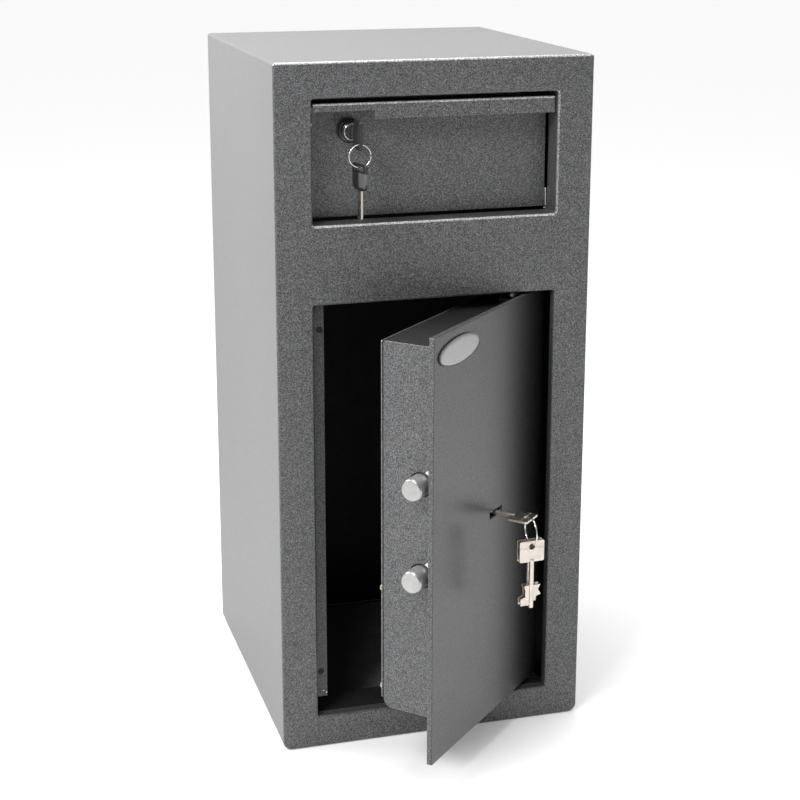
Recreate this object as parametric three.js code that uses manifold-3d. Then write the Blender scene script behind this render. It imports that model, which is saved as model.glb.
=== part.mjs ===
// Drop safe with a deposit drawer, millimetres, +Z up.
// Origin: centre of the underside. The front faces -Y, and depths are counted back from the front face.
import * as THREE from 'three';
import * as BufferGeometryUtils from 'three/addons/utils/BufferGeometryUtils.js';
import Module from 'manifold-3d';

const wasm = await Module();
wasm.setup();

// Cabinet
const width = 350;
const depth = 370;
const height = 765;
const sheet = 3;
const halfWidth = width / 2;
const gap = 0.3;
const topCornerRadius = 3;
const footCornerRadius = 10;
const bendRadius = 0.6;
const fixingHoleRadius = 7;
const baseFixingInset = 65;
const baseFixingX = halfWidth - baseFixingInset;
const baseFixingFront = 95;
const baseFixingRear = 285;
const wallFixingInset = 75;
const wallFixingX = halfWidth - wallFixingInset;
const wallFixingDrop = 125;
const wallFixingZ = height - wallFixingDrop;

// Openings in the front
const sideRail = 40;
const topRail = 38;
const middleRail = 85.5;
const openingHalfWidth = halfWidth - sideRail;
const openingCornerRadius = 2.5;
const drawerOpeningHeight = 132;
const drawerOpeningTop = height - topRail;
const drawerOpeningBottom = drawerOpeningTop - drawerOpeningHeight;
const drawerReturnDepth = 28;
const doorOpeningBottom = 36.5;
const doorOpeningTop = drawerOpeningBottom - middleRail;
const doorReturnDepth = 11;

// Strike jamb on the bolt side of the door opening
const strikeLap = 13.5;
const strikeEdge = strikeLap - openingHalfWidth;
const strikeThickness = 2;
const strikeFootGap = 18.5;
const strikeBottom = doorOpeningBottom + strikeFootGap;
const jambDepth = 78;
const jambFlangeDrop = 54.5;
const jambFlangeTop = doorOpeningTop - jambFlangeDrop;
const jambHoleRadius = 1.75;
const jambUpperHoleInset = 8.5;
const jambUpperHoleX = jambUpperHoleInset - openingHalfWidth;
const jambUpperHoleDrop = 28.9;
const jambUpperHoleZ = doorOpeningTop - jambUpperHoleDrop;
const jambLowerHoleInset = 6.4;
const jambLowerHoleX = jambLowerHoleInset - openingHalfWidth;
const jambLowerHoleRise = 49.3;
const jambLowerHoleZ = doorOpeningBottom + jambLowerHoleRise;

// Sill behind the door opening
const sillDepth = 54;
const sillNotchDepth = 26;
const sillNotchInset = 20;
const sillNotchX = openingHalfWidth - sillNotchInset;
const sillLegInset = 8;

// Hinge line of the door
const pivotInset = 37;
const pivotX = openingHalfWidth - pivotInset;
const pivotDepth = 26;
const openAngle = 44.5;
const pinRadius = 4;
const pinPlay = 0.5;
const pivotHoleRadius = pinRadius + pinPlay;
const pinSeatDepth = 6;
const collarRadius = 7.5;
const collarThickness = 4;
const bushRadius = 9;
const bushHeight = 4;
const bracketThickness = 6;
const bracketHalfWidth = 20;
const bracketReach = 46;
const bracketFlangeHeight = 32;
const lugThickness = 6;
const lugHalfWidth = 14;
const lugReach = 12;
const lowerLugFlangeHeight = 30;
const pinPassLength = 4;

// Door
const doorSideGap = 5;
const doorHalfWidth = openingHalfWidth - doorSideGap;
const doorThickness = 6;
const doorSetback = 4;
const doorFootGap = 5;
const doorHeadGap = 3;
const doorBottom = doorOpeningBottom + doorFootGap;
const doorTop = doorOpeningTop - doorHeadGap;
const doorMiddleZ = (doorBottom + doorTop) / 2;
const doorCornerRadius = 1.5;
const panSideInset = 14;
const panFootInset = 46.5;
const panHeadInset = 13.5;
const panHalfWidth = doorHalfWidth - panSideInset;
const panBottom = doorBottom + panFootInset;
const panTop = doorTop - panHeadInset;
const panDepth = 60;
const panSheet = 2;
const panHeadBendRadius = 3;
const panFootBendRadius = 10;
const panWindowMarginX = 21;
const panWindowMarginZ = 18;
const coverThickness = 1.5;
const coverStandoff = 1.4;
const coverInset = 0.4;
const coverFootInset = 10;
const coverCornerRadius = 1.5;
const coverScrewInset = 5.5;
const coverScrewX = panHalfWidth - coverScrewInset;
const coverScrewRises = [22, 134];
const coverScrewZ = coverScrewRises.map((rise) => panBottom + rise);
const coverScrewRadius = 2;
const coverScrewHeadRadius = 4;
const coverScrewHeadHeight = 2.8;
const coverScrewLength = 9;

// Badge plate, left bare
const badgeInset = 54.2;
const badgeX = badgeInset - doorHalfWidth;
const badgeDrop = 23.7;
const badgeZ = doorTop - badgeDrop;
const badgeWidth = 90;
const badgeHeight = 30;
const badgeThickness = 1.6;

// Key-driven boltwork
const boltRadius = 12;
const boltDepth = 26;
const boltRises = [-28, 72];
const boltZ = boltRises.map((rise) => doorMiddleZ + rise);
const boltEngagement = 15.5;
const boltThrow = 20;
const boltTipChamfer = 1.5;
const boltHoleRadius = 13.5;
const boltBarClearance = 16;
const boltBarThickness = 8;
const boltBarOverlap = 8;
const guideLength = 15.7;
const guideHalfHeight = 19;
const guideDepth = 29;
const guidePlay = 0.4;
const boltArmHeight = 14;
const boltArmThickness = 3.5;
const boltArmRunning = 1;

// Door lock
const keyholeShare = 0.439;
const keyholeRise = 3;
const keyholeZ = doorMiddleZ + keyholeRise;
const keyholeWidth = 30;
const keyholeHeight = 7;
const lockCaseHalfWidth = 42;
const lockCaseHalfHeight = 56;
const lockCaseDepth = 36;
const lockCaseWall = 2;
const keySocketWall = 2.2;
const keySocketDepth = 1.6;

// Double-bit key, three alike
const keyLength = 77;
const bowWidth = 29;
const bowLength = 24;
const bowThickness = 2.4;
const bowCornerRadius = 2.2;
const bowHoleRadius = 3.4;
const bowHoleInset = 6.5;
const bowShaftLap = 2.5;
const shaftRadius = 2.8;
const bitReach = 12.5;
const bitLength = 23;
const bitTipLength = 3;
const bitRightRiseShares = [0, 0.2, 0.2, 0.42, 0.5, 0.76, 1];
const bitRightReachShares = [0.1, 0.1, 0.44, 0.48, 0.92, 0.64, 0.9];
const bitLeftRiseShares = [0, 0.34, 0.42, 0.76, 0.92, 1];
const bitLeftReachShares = [1, 1, 0.56, 0.56, 0.66, 0.66];
const keyExposure = 19.5;
const keyRingRadius = 15;
const keyRingWire = 0.9;
const keyRingAngle = 40;
const keyRingDropAngle = 45;
const hangClearance = 0.9;
const hangingKeyPitch = 6;

// Deposit drawer
const panelSideGap = 2.3;
const panelHalfWidth = openingHalfWidth - panelSideGap;
const panelSetback = 30;
const panelFootGap = 3;
const panelHeadGap = 5;
const panelBottom = drawerOpeningBottom + panelFootGap;
const panelTop = drawerOpeningTop - panelHeadGap;
const panelSheet = 3;
const lipSetback = 3.5;
const lipSheet = 2;
const lipHeadDrop = 0.5;
const lipTop = panelTop - lipHeadDrop;
const lipFall = 18;
const lipBottom = panelTop - lipFall;
const lipShortFall = 9;
const lipShortBottom = panelTop - lipShortFall;
const lipStepInset = 65.2;
const lipStepX = lipStepInset - panelHalfWidth;
const lipBendRadius = 2.5;
const lipRearFall = 12;
const lipRearBottom = panelTop - lipRearFall;
const traySheet = 1.5;
const trayInset = 7;
const trayHalfWidth = openingHalfWidth - trayInset;
const trayBottom = panelBottom;
const trayHeight = 72;
const trayTop = trayBottom + trayHeight;
const trayRear = 230;

// Zinc-plated slides
const slideSheet = 1.5;
const slideHeight = 20;
const slideBottom = trayBottom;
const slideFront = 34;
const slideRear = 244;
const slideReach = 11;
const slidePlay = 0.4;
const innerSlideWidth = 5.4;
const slideStopWidth = 2.4;
const slideFootLength = 4;

// Cam lock in the drawer panel
const camLockInset = 44.2;
const camLockX = camLockInset - panelHalfWidth;
const camLockDrop = 32;
const camLockZ = panelTop - camLockDrop;
const lockFaceSetback = 15;
const lockFaceRadius = 10.75;
const lockFlangeSetback = 22;
const lockFlangeRadius = 13;
const lockBarrelRadius = 9.3;
const lockBarrelRear = 50;
const lockHoleRadius = 9.8;
const lockNutRadius = 13.5;
const lockNutThickness = 5;
const plugRadius = 7.2;
const plugRecess = 0.8;
const plugTail = 1;
const camThickness = 2.5;
const camLength = 35;
const camHalfWidth = 7;
const camScrewRadius = 2;
const camScrewHeadRadius = 4.5;
const camScrewHeadHeight = 2.5;
const camScrewLength = 7;

// Cylinder key with a plastic head, two alike
const headLength = 27.5;
const headWidth = 30;
const headThickness = 3.5;
const headOuterRadius = 3;
const headShoulderRadius = 7;
const headSlotLength = 20;
const headSlotWidth = 4.5;
const headSlotInset = 5;
const bladeWidth = 8.5;
const bladeThickness = 2.2;
const bladeLength = 32;
const bladeExposure = 9.5;
const bladePointShares = [0.25, 0.5];
const wireRadius = 0.6;
const smallRingRadius = 11.7;
const spareHang = 0.5;
const spareYaw = 12;

// Drop chute behind the drawer
const cheekOffset = 6.7;
const cheekX = openingHalfWidth + cheekOffset;
const cheekSheet = 2;
const cheekFootGap = 3.5;
const cheekHeadGap = 10;
const cheekBottom = doorOpeningTop + cheekFootGap;
const cheekTop = height - cheekHeadGap;
const cheekRear = 300;
const chuteBackFront = 262;
const chuteBackSheet = 2;
const chuteBackFootRise = 22;
const chuteBackHeadDrop = 10;
const chuteBackBottom = cheekBottom + chuteBackFootRise;
const chuteBackTop = cheekTop - chuteBackHeadDrop;
const chuteBackFlange = 20;
const toothHeight = 14;
const toothCount = 12;
const apronSheet = 2;
const apronTopReach = 34;
const apronHeadDrop = 7;
const apronTop = drawerOpeningBottom - apronHeadDrop;
const apronFootReach = 82;
const apronFall = 66;
const apronFoot = apronTop - apronFall;

// One-way flap that sweeps the drawer
const flapInset = 8;
const flapHalfWidth = trayHalfWidth - flapInset;
const flapDepth = 75;
const flapPivotRise = 2;
const flapPivotZ = panelTop + flapPivotRise;
const flapSheet = 1.5;
const flapBottomGap = 4.5;
const flapRodRadius = 3;
const flapRodOverhang = 4.3;
const flapRodEnd = cheekX + flapRodOverhang;
const flapRodPlay = 0.3;
const flapSleevePlay = 0.5;
const flapSleeveRadius = 5;
const stopBarThickness = 3;
const stopBarHeight = 6;
const stopBarDrop = 12;
const stopBarTop = flapPivotZ - stopBarDrop;

// Strike for the drawer's cam
const camStrikeDepth = 46;
const camStrikeSheet = 2;
const camStrikeInset = 23.5;
const camStrikeReach = camLockX - camStrikeInset;
const camStrikeFlange = 20;
const camStrikeHalfHeight = 10;

// Mat on the compartment floor
const matSideGap = 15;
const matHalfWidth = halfWidth - matSideGap;
const matFront = 60;
const matRear = 355;
const matThickness = 3;
const matHoleRadius = 12;

// Overrun of every cut past the faces it opens
const overrun = 1;

// Smoothness
const fineSteps = 32;
const roundSteps = 20;
const wireSteps = 8;
const bendSteps = 4;
const unit = 1;

const front = -depth / 2;
const behind = (distance) => front + distance;
const innerHalfWidth = halfWidth - sheet;
const innerFootRadius = footCornerRadius - sheet;
const pivotY = behind(pivotDepth);
const doorBack = doorSetback + doorThickness;
const panFront = doorBack + gap;
const panBack = doorBack + panDepth;
const coverFront = panBack + coverStandoff;
const coverBack = coverFront + coverThickness;

// The lock stands between the bolt guides with their bar and the hinge side of the pan
const guideRight = panSheet + gap - panHalfWidth + guideLength;
const keyholeLeftmost = guideRight + boltBarThickness + boltThrow + lockCaseHalfWidth;
const keyholeRightmost = panHalfWidth - panSheet - lockCaseHalfWidth;
const keyholeX = keyholeLeftmost + (keyholeRightmost - keyholeLeftmost) * keyholeShare;

function finish(color, roughness, metalness) {
  return new THREE.MeshStandardMaterial({ color, roughness, metalness });
}

const hammertone = finish(0x4b4d50, 0.5, 0.5);
const smoothGrey = finish(0xa2a3a2, 0.45, 0.3);
const innerGrey = finish(0x2f3032, 0.6, 0.4);
const zinc = finish(0xc2c4c0, 0.32, 0.9);
const yellowZinc = finish(0xc9b676, 0.35, 0.85);
const steel = finish(0xb9babb, 0.25, 1);
const nickel = finish(0xc7bfae, 0.28, 1);
const blackMetal = finish(0x141415, 0.35, 0.6);
const blackPlastic = finish(0x101011, 0.42, 0);
const badgeSilver = finish(0xa9abad, 0.3, 0.9);
const felt = finish(0x2a2a2b, 0.95, 0);

// Geometry helpers

function toSolid(geometry) {
  const bare = geometry.clone();
  bare.deleteAttribute('normal');
  bare.deleteAttribute('uv');
  const merged = BufferGeometryUtils.mergeVertices(bare);
  const vertProperties = new Float32Array(merged.attributes.position.array);
  const triVerts = new Uint32Array(merged.index.array);
  return new wasm.Manifold(new wasm.Mesh({ numProp: 3, vertProperties, triVerts }));
}

function fromSolid(solid) {
  const cutMesh = solid.getMesh();
  const geometry = new THREE.BufferGeometry();
  geometry.setAttribute('position', new THREE.BufferAttribute(new Float32Array(cutMesh.vertProperties), 3));
  geometry.setIndex(new THREE.BufferAttribute(new Uint32Array(cutMesh.triVerts), 1));
  geometry.computeVertexNormals();
  return geometry;
}

function cut(geometry, tools) {
  return fromSolid(tools.reduce((solid, tool) => solid.subtract(toSolid(tool)), toSolid(geometry)));
}

function join(geometries) {
  return fromSolid(geometries.map(toSolid).reduce((solid, next) => solid.add(next)));
}

function block(x0, x1, y0, y1, z0, z1) {
  const geometry = new THREE.BoxGeometry(x1 - x0, y1 - y0, z1 - z0);
  return geometry.translate((x0 + x1) / 2, (y0 + y1) / 2, (z0 + z1) / 2);
}

function axisRod(radius, from, to, steps = roundSteps) {
  const geometry = new THREE.CylinderGeometry(radius, radius, to - from, steps);
  return geometry.translate(0, (from + to) / 2, 0);
}

function rodAlongX(radius, x0, x1, y, z, steps) {
  return axisRod(radius, -x1, -x0, steps).rotateZ(Math.PI / 2).translate(0, y, z);
}

function rodAlongY(radius, x, y0, y1, z, steps) {
  return axisRod(radius, y0, y1, steps).translate(x, 0, z);
}

function rodAlongZ(radius, x, y, z0, z1, steps) {
  return axisRod(radius, z0, z1, steps).rotateX(Math.PI / 2).translate(x, y, 0);
}

function roundedOutline(outline, x0, x1, y0, y1, lowRadius, highRadius) {
  outline.moveTo(x0 + lowRadius, y0);
  outline.lineTo(x1 - lowRadius, y0);
  outline.absarc(x1 - lowRadius, y0 + lowRadius, lowRadius, -Math.PI / 2, 0, false);
  outline.lineTo(x1, y1 - highRadius);
  outline.absarc(x1 - highRadius, y1 - highRadius, highRadius, 0, Math.PI / 2, false);
  outline.lineTo(x0 + highRadius, y1);
  outline.absarc(x0 + highRadius, y1 - highRadius, highRadius, Math.PI / 2, Math.PI, false);
  outline.lineTo(x0, y0 + lowRadius);
  outline.absarc(x0 + lowRadius, y0 + lowRadius, lowRadius, Math.PI, Math.PI * 1.5, false);
  return outline;
}

function roundedShape(x0, x1, y0, y1, lowRadius, highRadius = lowRadius) {
  return roundedOutline(new THREE.Shape(), x0, x1, y0, y1, lowRadius, highRadius);
}

function roundedHole(shape, x0, x1, y0, y1, lowRadius, highRadius = lowRadius) {
  shape.holes.push(roundedOutline(new THREE.Path(), x0, x1, y0, y1, lowRadius, highRadius));
  return shape;
}

function polygon(points) {
  return new THREE.Shape(points.map(([x, y]) => new THREE.Vector2(x, y)));
}

function extruded(shape, length, steps = bendSteps) {
  return new THREE.ExtrudeGeometry(shape, { depth: length, bevelEnabled: false, curveSegments: steps });
}

// A front-view outline (x, z) made solid between two depths.
function frontPlate(shape, nearDepth, farDepth, steps) {
  const geometry = extruded(shape, farDepth - nearDepth, steps).rotateX(Math.PI / 2);
  return geometry.translate(0, behind(farDepth), 0);
}

// A side-view outline (depth, z) made solid between two x places.
function sidePlate(shape, x0, x1, steps) {
  const turn = new THREE.Matrix4().makeBasis(
    new THREE.Vector3(0, unit, 0),
    new THREE.Vector3(0, 0, unit),
    new THREE.Vector3(unit, 0, 0),
  );
  return extruded(shape, x1 - x0, steps).applyMatrix4(turn).translate(x0, front, 0);
}

// A plan outline (x, depth) made solid between two heights.
function planPlate(shape, z0, z1, steps) {
  return extruded(shape, z1 - z0, steps).translate(0, front, z0);
}

function mirrored(geometry) {
  const flipped = toSolid(geometry).mirror([unit, 0, 0]);
  return fromSolid(flipped);
}

const part = new THREE.Group();
const safeBody = new THREE.Group();
const drawer = new THREE.Group();
const door = new THREE.Group();
part.add(safeBody, drawer, door);

function place(group, name, geometry, material) {
  const mesh = new THREE.Mesh(geometry, material);
  mesh.name = name;
  group.add(mesh);
  return mesh;
}

// Cabinet shell

function buildCabinet() {
  const wrapOutline = roundedShape(-halfWidth, halfWidth, 0, height, footCornerRadius, topCornerRadius);
  roundedHole(
    wrapOutline, -innerHalfWidth, innerHalfWidth, sheet, height - sheet, innerFootRadius, bendRadius,
  );
  const wrap = frontPlate(wrapOutline, sheet + gap, depth);
  const baseHoles = [-baseFixingX, baseFixingX].flatMap((x) => [baseFixingFront, baseFixingRear].map(
    (distance) => rodAlongZ(fixingHoleRadius, x, behind(distance), -overrun, sheet + overrun),
  ));
  place(safeBody, 'body_wrap', cut(wrap, baseHoles), smoothGrey);

  const backOutline = roundedShape(
    -innerHalfWidth + gap, innerHalfWidth - gap, sheet + gap, height - sheet - gap, innerFootRadius,
    bendRadius,
  );
  const wallHoles = [-wallFixingX, wallFixingX].map((x) => rodAlongY(
    fixingHoleRadius, x, behind(depth - sheet - overrun), behind(depth + overrun), wallFixingZ,
  ));
  place(safeBody, 'back_plate', cut(frontPlate(backOutline, depth - sheet, depth), wallHoles), smoothGrey);
}

function openingReturn(bottom, top, reach) {
  const outline = roundedShape(
    -openingHalfWidth - sheet, openingHalfWidth + sheet, bottom - sheet, top + sheet,
    openingCornerRadius + sheet,
  );
  roundedHole(outline, -openingHalfWidth, openingHalfWidth, bottom, top, openingCornerRadius);
  return frontPlate(outline, sheet / 2, reach);
}

function buildFrontFrame() {
  const outline = roundedShape(-halfWidth, halfWidth, 0, height, footCornerRadius, topCornerRadius);
  const openings = [[doorOpeningBottom, doorOpeningTop], [drawerOpeningBottom, drawerOpeningTop]];
  for (const [bottom, top] of openings) {
    roundedHole(outline, -openingHalfWidth, openingHalfWidth, bottom, top, openingCornerRadius);
  }
  const frame = join([
    frontPlate(outline, 0, sheet),
    openingReturn(doorOpeningBottom, doorOpeningTop, doorReturnDepth),
    openingReturn(drawerOpeningBottom, drawerOpeningTop, drawerReturnDepth),
  ]);
  place(safeBody, 'front_frame', frame, hammertone);
}

function buildStrikeJamb() {
  const webOuter = -openingHalfWidth - sheet - gap;
  const webInner = webOuter - sheet;
  const stripFront = doorReturnDepth + gap;
  const bottom = doorOpeningBottom + gap;
  const web = block(
    webInner, webOuter, behind(sheet + gap), behind(jambDepth), bottom, doorOpeningTop - gap,
  );
  const strip = block(
    webOuter - sheet / 2, strikeEdge, behind(stripFront), behind(stripFront + strikeThickness),
    strikeBottom, doorOpeningTop - gap,
  );
  const flange = block(
    -innerHalfWidth + gap, webOuter - sheet / 2, behind(jambDepth - sheet), behind(jambDepth),
    bottom, jambFlangeTop,
  );
  const holes = [[jambUpperHoleX, jambUpperHoleZ], [jambLowerHoleX, jambLowerHoleZ]].map(
    ([x, z]) => rodAlongY(
      jambHoleRadius, x, behind(stripFront - overrun), behind(stripFront + strikeThickness + overrun), z,
    ),
  );
  place(safeBody, 'strike_jamb', cut(join([web, strip, flange]), holes), hammertone);
}

function buildSill() {
  const wall = innerHalfWidth - gap;
  const ledgeFront = doorReturnDepth + gap;
  const ledgeOutline = polygon([
    [-wall, ledgeFront], [wall, ledgeFront], [wall, sillNotchDepth],
    [sillNotchX, sillNotchDepth], [sillNotchX, sillDepth], [-wall, sillDepth],
  ]);
  const ledge = planPlate(ledgeOutline, doorOpeningBottom - sheet, doorOpeningBottom);
  const leg = block(
    sillLegInset - wall, sillNotchX, behind(sillDepth - sheet), behind(sillDepth),
    sheet + gap, doorOpeningBottom - sheet / 2,
  );
  const pivotHole = rodAlongZ(
    pivotHoleRadius, pivotX, pivotY, doorOpeningBottom - sheet - overrun, doorOpeningBottom + overrun,
  );
  place(safeBody, 'door_sill', cut(join([ledge, leg]), [pivotHole]), hammertone);

  const bushBottom = doorOpeningBottom + gap;
  const bush = cut(
    rodAlongZ(bushRadius, pivotX, pivotY, bushBottom, bushBottom + bushHeight),
    [rodAlongZ(pivotHoleRadius, pivotX, pivotY, bushBottom - overrun, bushBottom + bushHeight + overrun)],
  );
  place(safeBody, 'lower_pivot_bush', bush, steel);
}

const bracketBottom = doorOpeningTop + sheet + gap * 2;

function buildUpperPivotBracket() {
  const top = bracketBottom + bracketThickness;
  const arm = block(
    pivotX - bracketHalfWidth, pivotX + bracketHalfWidth, behind(sheet + gap), behind(bracketReach),
    bracketBottom, top,
  );
  const flange = block(
    pivotX - bracketHalfWidth, pivotX + bracketHalfWidth, behind(sheet + gap), behind(sheet * 2 + gap),
    top - sheet, bracketBottom + bracketFlangeHeight,
  );
  const hole = rodAlongZ(pivotHoleRadius, pivotX, pivotY, bracketBottom - overrun, top + overrun);
  place(safeBody, 'upper_pivot_bracket', cut(join([arm, flange]), [hole]), innerGrey);
}

// Chute behind the drawer

function buildCheeks() {
  const outline = polygon([
    [-cheekX - cheekSheet, sheet + gap], [-cheekX, sheet + gap], [-cheekX, cheekRear],
    [-innerHalfWidth + gap, cheekRear], [-innerHalfWidth + gap, cheekRear - cheekSheet],
    [-cheekX - cheekSheet, cheekRear - cheekSheet],
  ]);
  const rodHole = rodAlongX(
    flapRodRadius + flapRodPlay, -cheekX - cheekSheet - overrun, -cheekX + overrun, behind(flapDepth),
    flapPivotZ,
  );
  const left = cut(planPlate(outline, cheekBottom, cheekTop), [rodHole]);
  place(safeBody, 'chute_cheek_left', left, innerGrey);
  place(safeBody, 'chute_cheek_right', mirrored(left), innerGrey);
}

function buildChuteBack() {
  const edge = cheekX - gap;
  const pitch = edge * 2 / toothCount;
  const points = [[edge, chuteBackBottom], [edge, chuteBackTop], [-edge, chuteBackTop]];
  for (let tooth = 0; tooth < toothCount; tooth += 1) {
    const left = -edge + tooth * pitch;
    points.push([left, chuteBackBottom], [left + pitch / 2, chuteBackBottom - toothHeight]);
  }
  const web = frontPlate(polygon(points), chuteBackFront, chuteBackFront + chuteBackSheet);
  const flange = block(
    -edge, edge, behind(chuteBackFront + chuteBackSheet / 2), behind(chuteBackFront + chuteBackFlange),
    chuteBackTop - chuteBackSheet, chuteBackTop,
  );
  place(safeBody, 'chute_back', join([web, flange]), innerGrey);
}

function buildChuteApron() {
  const outline = polygon([
    [sheet + gap, apronTop - apronSheet], [apronTopReach - apronSheet, apronTop - apronSheet],
    [apronFootReach - apronSheet, apronFoot], [apronFootReach, apronFoot],
    [apronTopReach, apronTop], [sheet + gap, apronTop],
  ]);
  place(safeBody, 'chute_apron', sidePlate(outline, gap - cheekX, cheekX - gap), innerGrey);
}

function buildFlap() {
  const y = behind(flapDepth);
  const rod = rodAlongX(flapRodRadius, -flapRodEnd, flapRodEnd, y, flapPivotZ);
  place(safeBody, 'flap_rod', rod, steel);

  const stopRear = flapDepth - flapSheet / 2 - gap;
  const stopBar = block(
    gap - cheekX, cheekX - gap, behind(stopRear - stopBarThickness), behind(stopRear),
    stopBarTop - stopBarHeight, stopBarTop,
  );
  place(safeBody, 'flap_stop_bar', stopBar, zinc);

  const flapBottom = trayBottom + traySheet + flapBottomGap;
  const plate = block(
    -flapHalfWidth, flapHalfWidth, y - flapSheet / 2, y + flapSheet / 2, flapBottom, flapPivotZ,
  );
  const sleeve = rodAlongX(flapSleeveRadius, -flapHalfWidth, flapHalfWidth, y, flapPivotZ);
  const bore = rodAlongX(
    flapRodRadius + flapSleevePlay, -flapHalfWidth - overrun, flapHalfWidth + overrun, y, flapPivotZ,
  );
  place(part, 'sweeper_flap', cut(join([plate, sleeve]), [bore]), zinc);
}

function buildFloorMat() {
  const outline = roundedShape(-matHalfWidth, matHalfWidth, matFront, matRear, bendRadius);
  for (const x of [-baseFixingX, baseFixingX]) {
    for (const distance of [baseFixingFront, baseFixingRear]) {
      const hole = new THREE.Path();
      outline.holes.push(hole.absarc(x, distance, matHoleRadius, 0, Math.PI * 2, false));
    }
  }
  const bottom = sheet + gap;
  place(safeBody, 'floor_mat', planPlate(outline, bottom, bottom + matThickness, roundSteps), felt);
}

// Drawer

function buildDrawerFront() {
  const outline = roundedShape(
    -panelHalfWidth, panelHalfWidth, panelBottom, panelTop, bendRadius,
  );
  const lockHole = rodAlongY(
    lockHoleRadius, camLockX, behind(panelSetback - overrun), behind(panelSetback + panelSheet + overrun),
    camLockZ,
  );
  const panel = cut(frontPlate(outline, panelSetback, panelSetback + panelSheet), [lockHole]);
  place(drawer, 'drawer_front_panel', panel, hammertone);

  const rear = panelSetback - gap;
  const profile = new THREE.Shape();
  profile.moveTo(lipSetback, lipBottom);
  profile.lineTo(lipSetback + lipSheet, lipBottom);
  profile.lineTo(lipSetback + lipSheet, lipTop - lipSheet);
  profile.lineTo(rear - lipSheet, lipTop - lipSheet);
  profile.lineTo(rear - lipSheet, lipRearBottom);
  profile.lineTo(rear, lipRearBottom);
  profile.lineTo(rear, lipTop);
  profile.lineTo(lipSetback + lipBendRadius, lipTop);
  profile.absarc(
    lipSetback + lipBendRadius, lipTop - lipBendRadius, lipBendRadius, Math.PI / 2, Math.PI, false,
  );
  const lockRelief = block(
    -panelHalfWidth - overrun, lipStepX, behind(lipSetback - overrun),
    behind(lipSetback + lipSheet + overrun), lipBottom - overrun, lipShortBottom,
  );
  const lip = cut(sidePlate(profile, -panelHalfWidth, panelHalfWidth), [lockRelief]);
  place(drawer, 'drawer_pull_lip', lip, hammertone);
}

function buildTray() {
  const trayFront = panelSetback + panelSheet + gap;
  const outline = polygon([
    [-trayHalfWidth, trayBottom], [trayHalfWidth, trayBottom], [trayHalfWidth, trayTop],
    [trayHalfWidth - traySheet, trayTop], [trayHalfWidth - traySheet, trayBottom + traySheet],
    [traySheet - trayHalfWidth, trayBottom + traySheet], [traySheet - trayHalfWidth, trayTop],
    [-trayHalfWidth, trayTop],
  ]);
  place(drawer, 'drawer_tray', frontPlate(outline, trayFront, trayRear), zinc);
}

function slideProfile(web, reach, low, high) {
  return polygon([
    [web, low], [reach, low], [reach, low + slideSheet], [web + slideSheet, low + slideSheet],
    [web + slideSheet, high - slideSheet], [reach, high - slideSheet], [reach, high], [web, high],
  ]);
}

function buildSlides() {
  const top = slideBottom + slideHeight;
  const outerWeb = gap - cheekX;
  const stopX = -trayHalfWidth - innerSlideWidth - gap * 2;
  const outer = join([
    frontPlate(slideProfile(outerWeb, outerWeb + slideReach, slideBottom, top), slideFront, slideRear),
    block(
      stopX - slideStopWidth, stopX, behind(slideFront), behind(slideFront + slideSheet), slideBottom, top,
    ),
    block(
      stopX - slideStopWidth, stopX, behind(slideFront - slideFootLength), behind(slideFront + slideSheet),
      slideBottom, slideBottom + slideSheet,
    ),
  ]);
  place(safeBody, 'slide_outer_left', outer, zinc);
  place(safeBody, 'slide_outer_right', mirrored(outer), zinc);

  const innerWeb = trayHalfWidth + gap;
  const innerLow = slideBottom + slideSheet + slidePlay;
  const innerHigh = top - slideSheet - slidePlay;
  const inner = frontPlate(
    slideProfile(innerWeb, innerWeb + innerSlideWidth, innerLow, innerHigh),
    slideFront + slideSheet * 2, trayRear,
  );
  place(drawer, 'slide_inner_right', inner, zinc);
  place(drawer, 'slide_inner_left', mirrored(inner), zinc);
}

function lathedAlongY(points, x, z, steps) {
  const profile = points.map(([radius, distance]) => new THREE.Vector2(radius, distance));
  return new THREE.LatheGeometry(profile, steps).translate(x, front, z);
}

const plugRear = lockBarrelRear + plugTail;
const camFront = plugRear + gap;
const camRear = camFront + camThickness;

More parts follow.
